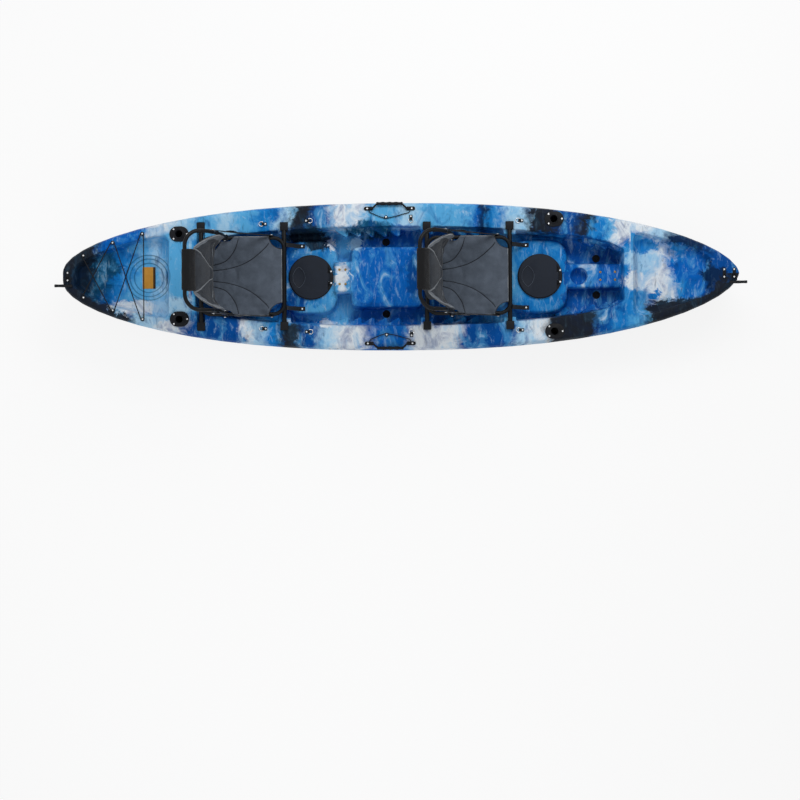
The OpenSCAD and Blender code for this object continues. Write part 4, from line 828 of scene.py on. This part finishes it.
# Hatch lids: a softer polyethylene, charcoal with a blue cast
lid_charcoal = worn("charcoal_lid_polyethylene", "#191E27", "#262C37", (0.46, 0.66), 600, 0.0005)
# Lips of the lids' finger hollows: the same plastic, painted pale as a highlight on the moulded lip
lid_lip_highlight = worn("rubbed_lid_edge", "#3C434F", "#5D6673", (0.4, 0.55), 900, 0.0002)
# Powder coat on aluminium tube: satin black with the faint ripple of baked paint, 2 mm across
powder_coat = worn("black_powder_coat", "#08090B", "#121316", (0.3, 0.42), 480, 0.0002)
# Soft black rubber of plugs and seals: matt, no highlights
rubber = worn("matt_black_rubber", "#101112", "#1B1C1E", (0.72, 0.86), 700, 0.0003)
# Stainless screws and rings: bright, with polishing haze
stainless = worn("polished_stainless", "#B9BBBE", "#DADCDE", (0.18, 0.34), 1500, 0.00005, 1.0)
# Brass inserts: dull yellow, handled
brass = worn("dull_brass", "#8C6D33", "#B9964F", (0.34, 0.5), 1200, 0.00008, 1.0)
# Card plate in the recess: plain cloudy tan board, a painted shadow as a dark strip at its bow end
card = worn("tan_card", "#B47C2C", "#D29A45", (0.7, 0.82), 1400, 0.00008)
# The last 13 mm towards the bow are painted dark brown as the card's shadow
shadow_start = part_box("tankwell_plate")[1][0] - 0.013
forward = add(card, "SeparateXYZ", add(card, "TexCoord").outputs["Object"]).outputs["X"]
painted_shadow_strip = add(card, "MapRange", forward, shadow_start - 0.0005, shadow_start + 0.0005)
board = card.node_tree.nodes[SHADER].inputs["Base Color"].links[0].from_socket
board_with_shadow = add(card, "Mix", painted_shadow_strip, board, linear("#3A2A1C"), data_type="RGBA")
feed(card, Base_Color=board_with_shadow)
print("solid finishes ready")

# %% Dress the rigid fittings
ENDS = ("aft", "front")
FITTINGS = [
    (moulded_black, "black_plastic", 0.0008,
     ["handle_lugs", "paddle_knobs", "pad_eyes", "bungee_guides", "d_ring_saddles", "crossbar_end_blocks",
      "bow_toggle", "stern_toggle"] + [end + "_hatch_rim" for end in ENDS]
     + [side + "_carry_handle" for side in SIDES]
     + [end + "_rod_holder_" + side for end in ENDS for side in SIDES]),
    (lid_charcoal, "black_plastic", 0.0012, [end + "_hatch_lid" for end in ENDS]),
    (powder_coat, "black_tube", 0.0005,
     [end + "_seat_" + tube for end in ENDS for tube in ("crossbars", "base_frame", "back_frame")]),
    (rubber, "plug_rubber", 0.0006,
     [end + "_scupper_plug_" + side for end in ("aft", "bow") for side in SIDES]),
    (rubber, "seal", 0, ["hatch_seals"]),
    (stainless, "stainless", 0.0003,
     ["deck_screws", "hatch_hinge_pins"] + [end + "_seat_pivot_bolts" for end in ENDS]),
    (stainless, "stainless", 0, ["d_ring_%d_%s" % (i, side) for i in range(1, 5) for side in SIDES]),
    (brass, "brass", 0.0003, ["accessory_inserts"]),
    (card, "plate", 0.0004, ["tankwell_plate"])]


def dress(node, material, edge, body=None):
    """An eased, smooth-shaded copy of a CAD node that shows in its place."""
    piece = copy_of(node, node + "_dressed")
    bpy.ops.object.mode_set(mode="EDIT")
    bpy.ops.mesh.select_all(action="SELECT")
    bpy.ops.mesh.dissolve_limited(angle_limit=math.radians(0.8))
    bpy.ops.object.mode_set(mode="OBJECT")
    if edge:
        apply_modifier(piece, "BEVEL", width=edge, segments=2, limit_method="ANGLE",
                       angle_limit=math.radians(34))
    activate(piece)
    bpy.ops.object.shade_smooth_by_angle(angle=math.radians(34))
    return hand_over(piece, material, body, node)


for material, slot, edge, names in FITTINGS:
    for node in names:
        dress(node, material, edge, body_of(nodes[node])[0])
    print(len(names), "pieces of", material.name)

# %% Pale lips round the finger hollows of the lids, their colour a painted highlight
HOLLOW_R, HOLLOW_OFF, HOLLOW_AFT, LIP_R = 0.067, 0.032, 0.0683, 0.0011
turn = math.asin(HOLLOW_OFF / HOLLOW_R)
bow_arc = [(HOLLOW_R * math.cos(a) - HOLLOW_OFF, HOLLOW_R * math.sin(a))
           for a in np.linspace(turn - math.pi / 2, math.pi / 2 - turn, 15)]
outline = bow_arc + [(-x, y) for x, y in bow_arc[-2:0:-1]]
for end, hatch_x in HATCH_X.items():
    lid = end + "_hatch_lid"
    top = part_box(lid)[1][2]
    lip_line = [np.array((hatch_x - HOLLOW_AFT + x, y, top)) for x, y in outline + outline[:1]]
    # The moulded lip is drawn in a pale grey that paints the highlight along it
    lip = lay_tube(end + "_lid_finger_lip", lip_line, LIP_R, sides=8)
    hand_over(lip, lid_lip_highlight, body_of(nodes[lid])[0])
print("lids ready")

# %% [markdown]
# The seats are sewn from a coarse grey polyester over thin foam, with seams that fan out from the back
# of the base, drawn near black for dark stitching and painted shade in their creases, pale piping on
# the edges, a black mesh band over the top tube and black polypropylene webbing. Every weave is drawn
# larger than life, at about 3 mm, because the real half-millimetre threads would only blur.

# %% Fabrics and webbing
def woven(name, dark, light, thread, rough, uv_map):
    """Cloth with warp and weft along a UV map in metres; seams and trims come from attributes."""
    material = finish_for(name, dark, rough, sheen=0.1)
    laid = add(material, "UVMap", uv_map=uv_map)
    warp, weft = (add(material, "TexWave", laid, wave_type="BANDS", bands_direction=way,
                      Scale=0.314 / thread, Distortion=0.4) for way in "XY")
    cross = add(material, "Math", warp.outputs["Fac"], weft.outputs["Fac"], operation="MAXIMUM")
    soil = add(material, "TexNoise", laid, Scale=14, Detail=4, Roughness=0.6)
    shade = add(material, "Math", cross, 0.6, soil, operation="MULTIPLY_ADD")
    tone = add(material, "MapRange", shade, 0.5, 1.25)
    cloth = add(material, "Mix", tone, linear(dark), linear(light), data_type="RGBA")
    # Seam lines: near-black stitching and painted shade in the sewn crease; trim lines: pale piping
    for mark, colour in (("seam", "#0D0E10"), ("trim", "#8F9499")):
        line = add(material, "Attribute", attribute_name=mark).outputs["Fac"]
        cloth = add(material, "Mix", line, cloth, linear(colour), data_type="RGBA")
    relief = add(material, "Bump", Strength=0.4, Distance=thread * 0.2, Height=cross)
    feed(material, Base_Color=cloth, Normal=relief)
    return material


# Seat polyester: mid grey with a cold cast, dull, a little lighter on the thread crowns
polyester = woven("grey_seat_polyester", "#3E454F", "#5F6977", 0.003, 0.78, "weave")
# Face of the back: the same cloth, painted darker as shade
shaded_polyester = woven("dark_seat_polyester", "#26292E", "#3C4148", 0.003, 0.78, "weave")
# Side panels of the back: a paler grey knit
pale_knit = woven("pale_grey_knit", "#5A5F66", "#7C828A", 0.003, 0.8, "weave")
# Air mesh of the head band: black, open cells catch tiny points of light
air_mesh = woven("black_air_mesh", "#050506", "#0F1013", 0.004, 0.7, "along")
# Piping round the edges: light grey tape over a cord
piping_tape = woven("light_piping_tape", "#7E8287", "#A6AAAE", 0.002, 0.75, "along")
# Webbing: black polypropylene, ribs across it every 2 mm and a hard shine
webbing = woven("black_polypropylene_webbing", "#0C0D0E", "#232528", 0.0024, 0.5, "along")
print("fabrics ready")

# %% [markdown]
# A pad is two skins of cloth sewn together round the edge. It starts as a flat grid, Solidify gives it
# the second skin, and both skins take their places from two shares, u and v, that run from -1 to 1 over
# the pattern. Cloth pressure then blows the face up between the seams, which are held. One seat is sewn,
# and both seats get copies.

# %% Cutting a pad
def smooth(t):
    t = np.clip(t, 0, 1)
    return t * t * (3 - 2 * t)


def pad_shell(name, across, along, under, over):
    """A closed double skin over a grid of shares u and v."""
    bpy.ops.object.select_all(action="DESELECT")
    bpy.ops.mesh.primitive_grid_add(x_subdivisions=across, y_subdivisions=along, size=2)
    piece = bpy.context.object
    piece.name = piece.data.name = name
    apply_modifier(piece, "SOLIDIFY", thickness=0.1, offset=1)
    co = points_of(piece)
    face, u, v = co[:, 2] > 0.05, np.clip(co[:, 0], -1, 1), np.clip(co[:, 1], -1, 1)
    put(piece, np.where(face[:, None], over(u, v), under(u, v)))
    return piece, face, u, v


def distance_to(lines, first, second):
    """Distance of points from the nearest of some lines on the flat pattern."""
    best = np.full(len(first), 9.0)
    for line in lines:
        line = smooth_route(line, 5)
        for a, b in zip(line, line[1:]):
            d = b - a
            t = np.clip(((first - a[0]) * d[0] + (second - a[1]) * d[1]) / (d @ d), 0, 1)
            best = np.minimum(best, np.hypot(first - a[0] - t * d[0], second - a[1] - t * d[1]))
    return best


def mirrored(lines, axis):
    """Lines of a pattern and their mirror images."""
    flip = np.where(np.arange(2) == axis, -1, 1)
    return lines + [[tuple(flip * p) for p in line] for line in lines]


def ripple(co, scale, height):
    """Slack cloth: a soft unevenness, longer one way than the other."""
    return np.array([height * noise.noise(Vector(p * scale)) for p in co])


print("cutting tools ready")

# %% Stuffing and sewing a pad
LAST_FRAME, SEAM_DEEP, SEAM_HALF, STITCH_HALF = 20, 0.0026, 0.004, 0.0012


def puff(piece, held, cap):
    """Blows up what isn't held by cloth pressure, no point further than a cap."""
    start = points_of(piece)
    pins = piece.vertex_groups.new(name="held")
    pins.add([int(i) for i in np.nonzero(held)[0]], 1.0, "REPLACE")
    activate(piece)
    bpy.ops.object.modifier_add(type="CLOTH")
    cloth = piece.modifiers[-1]
    cloth.settings.vertex_group_mass = "held"
    cloth.settings.use_pressure = True
    cloth.settings.uniform_pressure_force = 4
    cloth.settings.shrink_min = -0.03
    cloth.settings.effector_weights.gravity = 0
    cloth.point_cache.frame_start, cloth.point_cache.frame_end = 1, LAST_FRAME
    for tick in range(1, LAST_FRAME + 1):
        bpy.context.scene.frame_set(tick)
    bpy.ops.object.modifier_apply(modifier=cloth.name)
    bpy.context.scene.frame_set(1)
    piece.vertex_groups.clear()
    step = points_of(piece) - start
    far = np.linalg.norm(step, axis=1)
    put(piece, start + step * np.minimum(1, cap / np.maximum(far, 1e-9))[:, None])


def sew(piece, first, second, seams, mark, axis):
    """Pulls seams into a pad's face, marks them for the cloth's colour and lays the weave."""
    off, normal = distance_to(seams, first, second), points_of(piece, "normal")
    face = np.clip(normal[:, axis] * 3, 0, 1)
    put(piece, points_of(piece) - normal * (SEAM_DEEP * face * np.exp(-(off / SEAM_HALF) ** 2))[:, None])
    layer = piece.data.attributes.new(mark, "FLOAT", "POINT")
    stitches = face * np.clip(2.2 - off / STITCH_HALF, 0, 1)
    layer.data.foreach_set("value", stitches.astype(np.float32))
    corner = np.empty(len(piece.data.loops), int)
    piece.data.loops.foreach_get("vertex_index", corner)
    weave = piece.data.uv_layers.new(name="weave")
    weave.data.foreach_set("uv", np.stack([first, second], 1)[corner].astype(np.float32).ravel())
    activate(piece)
    bpy.ops.object.shade_smooth()


print("sewing tools ready")

# %% Pattern of the base pad, with corners cut away for the pivots and the strap feet
BASE_BACK, BASE_FRONT, BASE_Z, BASE_SAG = -0.203, 0.223, 0.0364, 0.009
NOTCH_X, NOTCH_R, CORNER_X, CORNER_R = -0.19, 0.067, 0.222, 0.072
FRAME_HALF_L, FRAME_HALF_W = 0.2485, 0.224
BASE_SEAMS = mirrored([[(-0.180, 0.056), (-0.094, 0.083), (-0.041, 0.149), (-0.018, 0.226)],
                       [(-0.180, 0.028), (-0.068, 0.043), (0.038, 0.083), (0.131, 0.158),
                        (0.150, 0.182)]], 1)


def round_cut(gap, radius, half):
    """Half width beside a round cut, at a gap from its middle; 1 where the cut has ended."""
    depth = np.sqrt(np.maximum(0, radius ** 2 - np.clip(gap, 0, radius) ** 2))
    return np.where(gap < radius, half - depth, 1)


def base_half(x):
    cuts = np.minimum(round_cut(x - NOTCH_X, NOTCH_R, 0.205), round_cut(CORNER_X - x, CORNER_R, 0.2245))
    return np.minimum(cuts, 0.196 + 0.0255 * smooth((x + 0.068) / 0.022))


def base_under(u, v):
    x = BASE_BACK + (BASE_FRONT - BASE_BACK) * (u + 1) / 2
    y = v * base_half(x)
    sag_y, sag_x = (np.cos(np.pi / 2 * np.minimum(1, np.abs(place) / half))
                    for place, half in ((y, FRAME_HALF_W), (x, FRAME_HALF_L)))
    return np.stack([x, y, BASE_Z - BASE_SAG * sag_y * sag_x], 1)


def base_over(u, v):
    low = base_under(u, v)
    inner = smooth((1 - np.abs(v)) / 0.3) * smooth((u + 1) / 0.12) * smooth((1 - u) / 0.2)
    low[:, 2] += 0.0025 + inner * (0.005 + 0.011 * np.exp(-((low[:, 0] - 0.115) / 0.075) ** 2))
    return low


print("base from", BASE_BACK, "to", BASE_FRONT, "m")

# %% Sew the base pad
base, face, u, v = pad_shell("aft_base_pad", 44, 44, base_under, base_over)
co = points_of(base)
on_seam = distance_to(BASE_SEAMS, co[:, 0], co[:, 1]) < 0.006
puff(base, ~face | (np.abs(u) > 0.97) | (np.abs(v) > 0.97) | on_seam, 0.006)
apply_modifier(base, "SUBSURF", levels=2, render_levels=2)
co = points_of(base)
slack = ripple(co, (9, 30, 9), 0.0042) * smooth((points_of(base, "normal")[:, 2] - 0.2) / 0.5)
slack *= smooth((co[:, 0] + 0.18) / 0.1)
put(base, co + np.stack([0 * slack, 0 * slack, slack], 1))
# The base's seam lines are near black: dark stitching with painted shade in their creases
sew(base, co[:, 0], co[:, 1], BASE_SEAMS, "seam", 2)
base.data.materials.append(polyester)
print("base pad", len(base.data.polygons), "faces")

# %% Pattern of the back pad, hollowed for the sitter, with boxed sides that stand forward of the legs
PIVOT_X, PIVOT_Z, HUG, BACK_HALF = -0.095, 0.0603, 4.2, 0.2034
BACK_LOW, BACK_TALL, BACK_DEEP, FLAP_HALF = -0.008, 0.448, 0.074, 0.140
BEND_R, BEND_H, KINK_X, KINK_H, LEAN = 0.88, 0.105, -0.1405, 0.3845, math.tan(math.radians(28))
BACK_SEAMS = mirrored([[(0.118, 0.432), (0.074, 0.33), (0.034, 0.2), (0.016, 0.06)],
                       [(0.198, 0.29), (0.128, 0.2), (0.075, 0.125), (0.042, 0.05)]], 0)


def edge_x(h):
    """Where the legs stand at a height over the pivot: upright, then curved back, then leaning."""
    bent = PIVOT_X - BEND_R * (1 - np.sqrt(1 - np.clip((h - BEND_H) / BEND_R, 0, 0.3176) ** 2))
    return np.where(h < KINK_H, bent, KINK_X - (h - KINK_H) * LEAN)


def back_half(h):
    flap = FLAP_HALF + (BACK_HALF - FLAP_HALF) * smooth((h - 0.07) / 0.13)
    return np.where(h < 0.20, flap, BACK_HALF - 0.078 * np.maximum(0, (h - 0.33) / 0.11) ** 1.7)


def back_under(u, v):
    h = BACK_LOW + BACK_TALL * (v + 1) / 2
    y = u * back_half(h)
    middle = edge_x(h) - BACK_DEEP - 0.086 * np.maximum(0, (0.09 - h) / 0.098) ** 1.6
    x = middle + (edge_x(h) - middle) * (np.abs(y) / BACK_HALF) ** HUG
    return np.stack([x - 0.002, y, PIVOT_Z + h], 1)


def back_over(u, v):
    rear = back_under(u, v)
    h = rear[:, 2] - PIVOT_Z
    wing = np.minimum(0.028, 0.012 + PIVOT_X - edge_x(h))
    wing = wing * smooth((h - 0.10) / 0.12) * smooth((0.44 - h) / 0.12)
    thick = 0.015 + 0.004 * np.exp(-((h - 0.165) / 0.05) ** 2) + (wing - 0.009) * np.abs(u) ** 5
    rear[:, 0] += 0.004 + (thick - 0.004) * smooth((v + 1) / 0.12) * smooth((1 - v) / 0.12)
    return rear


print("back", BACK_TALL, "m tall")

# %% Sew the back pad
KNIT_FROM, KNIT_WIDE = 0.11, 0.024
back, face, u, v = pad_shell("aft_back_pad", 40, 44, back_under, back_over)
co = points_of(back)
on_seam = distance_to(BACK_SEAMS, co[:, 1], co[:, 2] - PIVOT_Z) < 0.006
puff(back, ~face | (np.abs(u) > 0.96) | (np.abs(v) > 0.96) | on_seam, 0.005)
apply_modifier(back, "SUBSURF", levels=2, render_levels=2)
co = points_of(back)
sew(back, co[:, 1], co[:, 2] - PIVOT_Z, BACK_SEAMS, "trim", 0)
# The back's face takes the darker copy of the cloth, painted shade
back.data.materials.append(shaded_polyester)
back.data.materials.append(pale_knit)
for panel in back.data.polygons:
    h = panel.center.z - PIVOT_Z
    if h > KNIT_FROM and abs(panel.center.y) > float(back_half(np.float64(h))) - KNIT_WIDE:
        panel.material_index = 1
print("back pad", len(back.data.polygons), "faces")

# %% Black mesh band over the top tube
BAND_HALF = 0.115
BAND = [(-0.222, 0.490), (-0.228, 0.520), (-0.250, 0.556), (-0.272, 0.5705), (-0.290, 0.566),
        (-0.298, 0.552), (-0.289, 0.530), (-0.268, 0.508), (-0.252, 0.490)]
line = [np.array((0, y, 0)) for y in np.linspace(-BAND_HALF, BAND_HALF, 25)]
band = lay_tube("aft_head_band", line, 0, shape=[(x, -z) for x, z in BAND])
co = points_of(band)
co[:, 0] += BACK_DEEP * (np.abs(co[:, 1]) / BACK_HALF) ** HUG * np.clip((0.53 - co[:, 2]) / 0.04, 0, 1)
put(band, co)
apply_modifier(band, "SUBSURF", levels=2, render_levels=2)
co = points_of(band)
put(band, co + points_of(band, "normal") * ripple(co, (60, 22, 60), 0.002)[:, None])
activate(band)
bpy.ops.object.shade_smooth()
band.data.materials.append(air_mesh)
print("head band", len(band.data.polygons), "faces")

# %% Piping and bindings of the pads: name, line, radius, material and body, which None leaves to the back
quarter = np.linspace(0, math.pi / 2, 8)
side_xs, corner_xs = np.linspace(-0.044, 0.150, 12), CORNER_X - CORNER_R * np.cos(quarter)
notch_xs = NOTCH_X + NOTCH_R * np.sin(quarter)
LIFT = np.array((0, 0, 0.001))


def base_edge(xs, sign):
    """Points along the edge of the base pad, on one side."""
    shares = 2 * (xs - BASE_BACK) / (BASE_FRONT - BASE_BACK) - 1
    return list(base_under(shares, np.full(len(xs), 0.995 * sign)) + LIFT)


trims = []
for sign in SIDES.values():
    corner = list(back_over(np.full(9, 0.985 * sign), np.linspace(0.50, 0.985, 9)))
    trims += [("base_side_piping", base_edge(side_xs, sign), 0.0019, piping_tape, "boat"),
              ("base_front_binding", base_edge(corner_xs, sign), 0.0024, webbing, "boat"),
              ("base_notch_binding", base_edge(notch_xs, sign), 0.0024, webbing, "boat"),
              ("back_corner_piping", corner, 0.002, piping_tape, None)]
hem = list(base_under(np.full(14, 0.995), np.linspace(-0.98, 0.98, 14)) + LIFT)
top_edge = list(back_over(np.linspace(-0.98, 0.98, 15), np.full(15, 0.985)))
trims += [("base_hem_piping", hem, 0.0019, piping_tape, "boat"),
          ("back_top_piping", top_edge, 0.0021, piping_tape, None)]
print(len(trims), "trims a seat")

# %% [markdown]
# Webbing holds each back up: a broad strap with a ladder buckle and a loose tail, and below it a strap
# that is folded narrow at the leg and opens out towards its foot. They hang between the folding back and
# the boat, so they bend with it.

# %% Straps and screws of a seat
STRAP_W, STRAP_Y, OVERLAP = 0.024, 0.2273, 0.0023
FOOT, UPPER, LOWER = (0.165, 0.0243), (-0.140, 0.4003), (-0.101, 0.2653)
FLAT = [(0.001, 0.0108), (0.0006, 0.012), (-0.0006, 0.012), (-0.001, 0.0108)]
FLAT += [(x, -y) for x, y in FLAT[::-1]]
HEAD_R, HEAD_T = 0.0072, 0.003


def strap(name, points, narrow):
    """Webbing along a route; narrow is its width at the start, as a share of the full one."""
    line = smooth_route(points, 6)
    piece = lay_tube(name, line, 0, shape=FLAT)
    co, middle = points_of(piece), np.repeat(np.array(line), len(FLAT), axis=0)
    wide = narrow + (1 - narrow) * smooth(np.repeat(np.linspace(0, 1.2, len(line)), len(FLAT)))
    put(piece, middle + (co - middle) * np.stack([wide, np.ones(len(wide)), wide], 1))
    return hand_over(piece, webbing), line


def pan_head(name, place, body):
    """A broad pan-head screw seen from the side of the boat."""
    bpy.ops.object.select_all(action="DESELECT")
    bpy.ops.mesh.primitive_cylinder_add(vertices=40, radius=HEAD_R, depth=HEAD_T, location=place,
                                        rotation=(math.pi / 2, 0, 0))
    piece = bpy.context.object
    piece.name = piece.data.name = name
    bpy.ops.object.transform_apply(location=True, rotation=True, scale=True)
    outward = 1 if place[1] > 0 else -1
    bpy.ops.object.mode_set(mode="EDIT")
    bpy.ops.mesh.select_mode(type="FACE")
    bpy.ops.mesh.select_all(action="DESELECT")
    bpy.ops.object.mode_set(mode="OBJECT")
    for head in piece.data.polygons:
        head.select = head.normal.y * outward > 0.9
    bpy.ops.object.mode_set(mode="EDIT")
    bpy.ops.mesh.inset(thickness=0.004)
    bpy.ops.mesh.extrude_region_move(TRANSFORM_OT_translate={"value": (0, -0.0012 * outward, 0)})
    bpy.ops.mesh.select_mode(type="VERT")
    bpy.ops.object.mode_set(mode="OBJECT")
    apply_modifier(piece, "BEVEL", width=0.0008, segments=3, limit_method="ANGLE",
                   angle_limit=math.radians(40))
    activate(piece)
    bpy.ops.object.shade_smooth_by_angle(angle=math.radians(35))
    hand_over(piece, stainless, body)


print("straps ready")

# %% Fitting a seat
def fit_pads(end, seat, body):
    """Copies of the sewn pads, moved to a seat."""
    for pattern, node, rides, fill in ((base, "_seat_base_sling", "boat", 0.5),
                                       (back, "_seat_back_panel", body, 0.5), (band, None, body, 0.6)):
        pad = bpy.data.objects.new(pattern.name.replace("aft", end + "_seat"), pattern.data.copy())
        bpy.context.collection.objects.link(pad)
        put(pad, points_of(pad) + seat)
        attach(pad, rides)
        if node:
            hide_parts(end + node)
    for i, (name, line, radius, material, rides) in enumerate(trims):
        route = smooth_route([p + seat for p in line], 3)
        trim = lay_tube("%s_%s_%d" % (end, name, i), route, radius, sides=8)
        hand_over(trim, material, rides or body)


def fit_straps(end, side, sign, seat, body):
    """The straps, their screws and the loose tail on one side of a seat."""
    out = np.array((0, sign, 0))
    foot, top, knee = (seat + np.array((x, sign * STRAP_Y, z)) for x, z in (FOOT, UPPER, LOWER))
    knee, toe = knee + OVERLAP * out, foot + OVERLAP * out
    reach = (top - foot) / np.linalg.norm(top - foot) * 0.006
    upper, _ = strap("%s_upper_strap_%s" % (end, side),
                     [top + reach, (top + foot) / 2, foot - reach], 1.0)
    lower, _ = strap("%s_lower_strap_%s" % (end, side),
                     [knee, (knee * 2 + toe) / 3, (knee + toe * 2) / 3, toe - reach], 0.45)
    loose = top + (foot - top) * 0.37 + 0.0052 * out
    hang = ((0, 0, 0), (0.003, 0, -0.045), (0.002, 0, -0.090), (0.020, 0, -0.152))
    tail, line = strap("%s_strap_tail_%s" % (end, side), [loose + np.array(p) for p in hang], 0.5)
    as_cord(tail, line)
    for piece in (upper, lower, tail):
        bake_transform(piece, "boat", body, start=tuple(foot), end=tuple(top))
    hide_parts(end + "_seat_side_straps")
    pan_head("%s_foot_screw_%s" % (end, side), foot + 0.0050 * out, "boat")
    pan_head("%s_leg_screw_%s" % (end, side), top + 0.0027 * out + np.array((0.004, 0, -0.005)), body)


def fit_tie_down(end, side, sign, seat):
    """The strap from the front cross tube to its eye in the cockpit."""
    drop = seat[2] - 0.2053
    route = ((0.2488, 0.013), (0.2488, -0.006), (0.2515, -0.014), (0.311, 0.010 - drop),
             (0.316, 0.0012 - drop), (0.326, 0.001 - drop), (0.3475, 0.001 - drop))
    line = smooth_route([seat + np.array((x, sign * 0.178, z)) for x, z in route], 4)
    tie_down = lay_tube("%s_tie_down_%s" % (end, side), line, 0, shape=[(b, a) for a, b in FLAT[::-1]])
    hand_over(tie_down, webbing, "boat", end + "_seat_tie_down_straps")


print("seat fitters ready")

# %% Fit out both seats
for end in ENDS:
    low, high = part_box(end + "_seat_crossbars")
    seat, body = (np.array(low) + np.array(high)) / 2, end + "_seat_back"
    fit_pads(end, seat, body)
    for side, sign in SIDES.items():
        fit_straps(end, side, sign, seat, body)
        fit_tie_down(end, side, sign, seat)
    buckles = dress(end + "_seat_strap_buckles", moulded_black, 0.001)
    foot, top = (tuple(seat + np.array((x, 0, z))) for x, z in (FOOT, UPPER))
    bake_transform(buckles, "boat", body, start=foot, end=top)
for pattern in (base, back, band):
    bpy.data.objects.remove(pattern)
print("seats fitted")

# %% Print the visual box
low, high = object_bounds()
print("visual box from", [round(v, 3) for v in low], "to", [round(v, 3) for v in high])
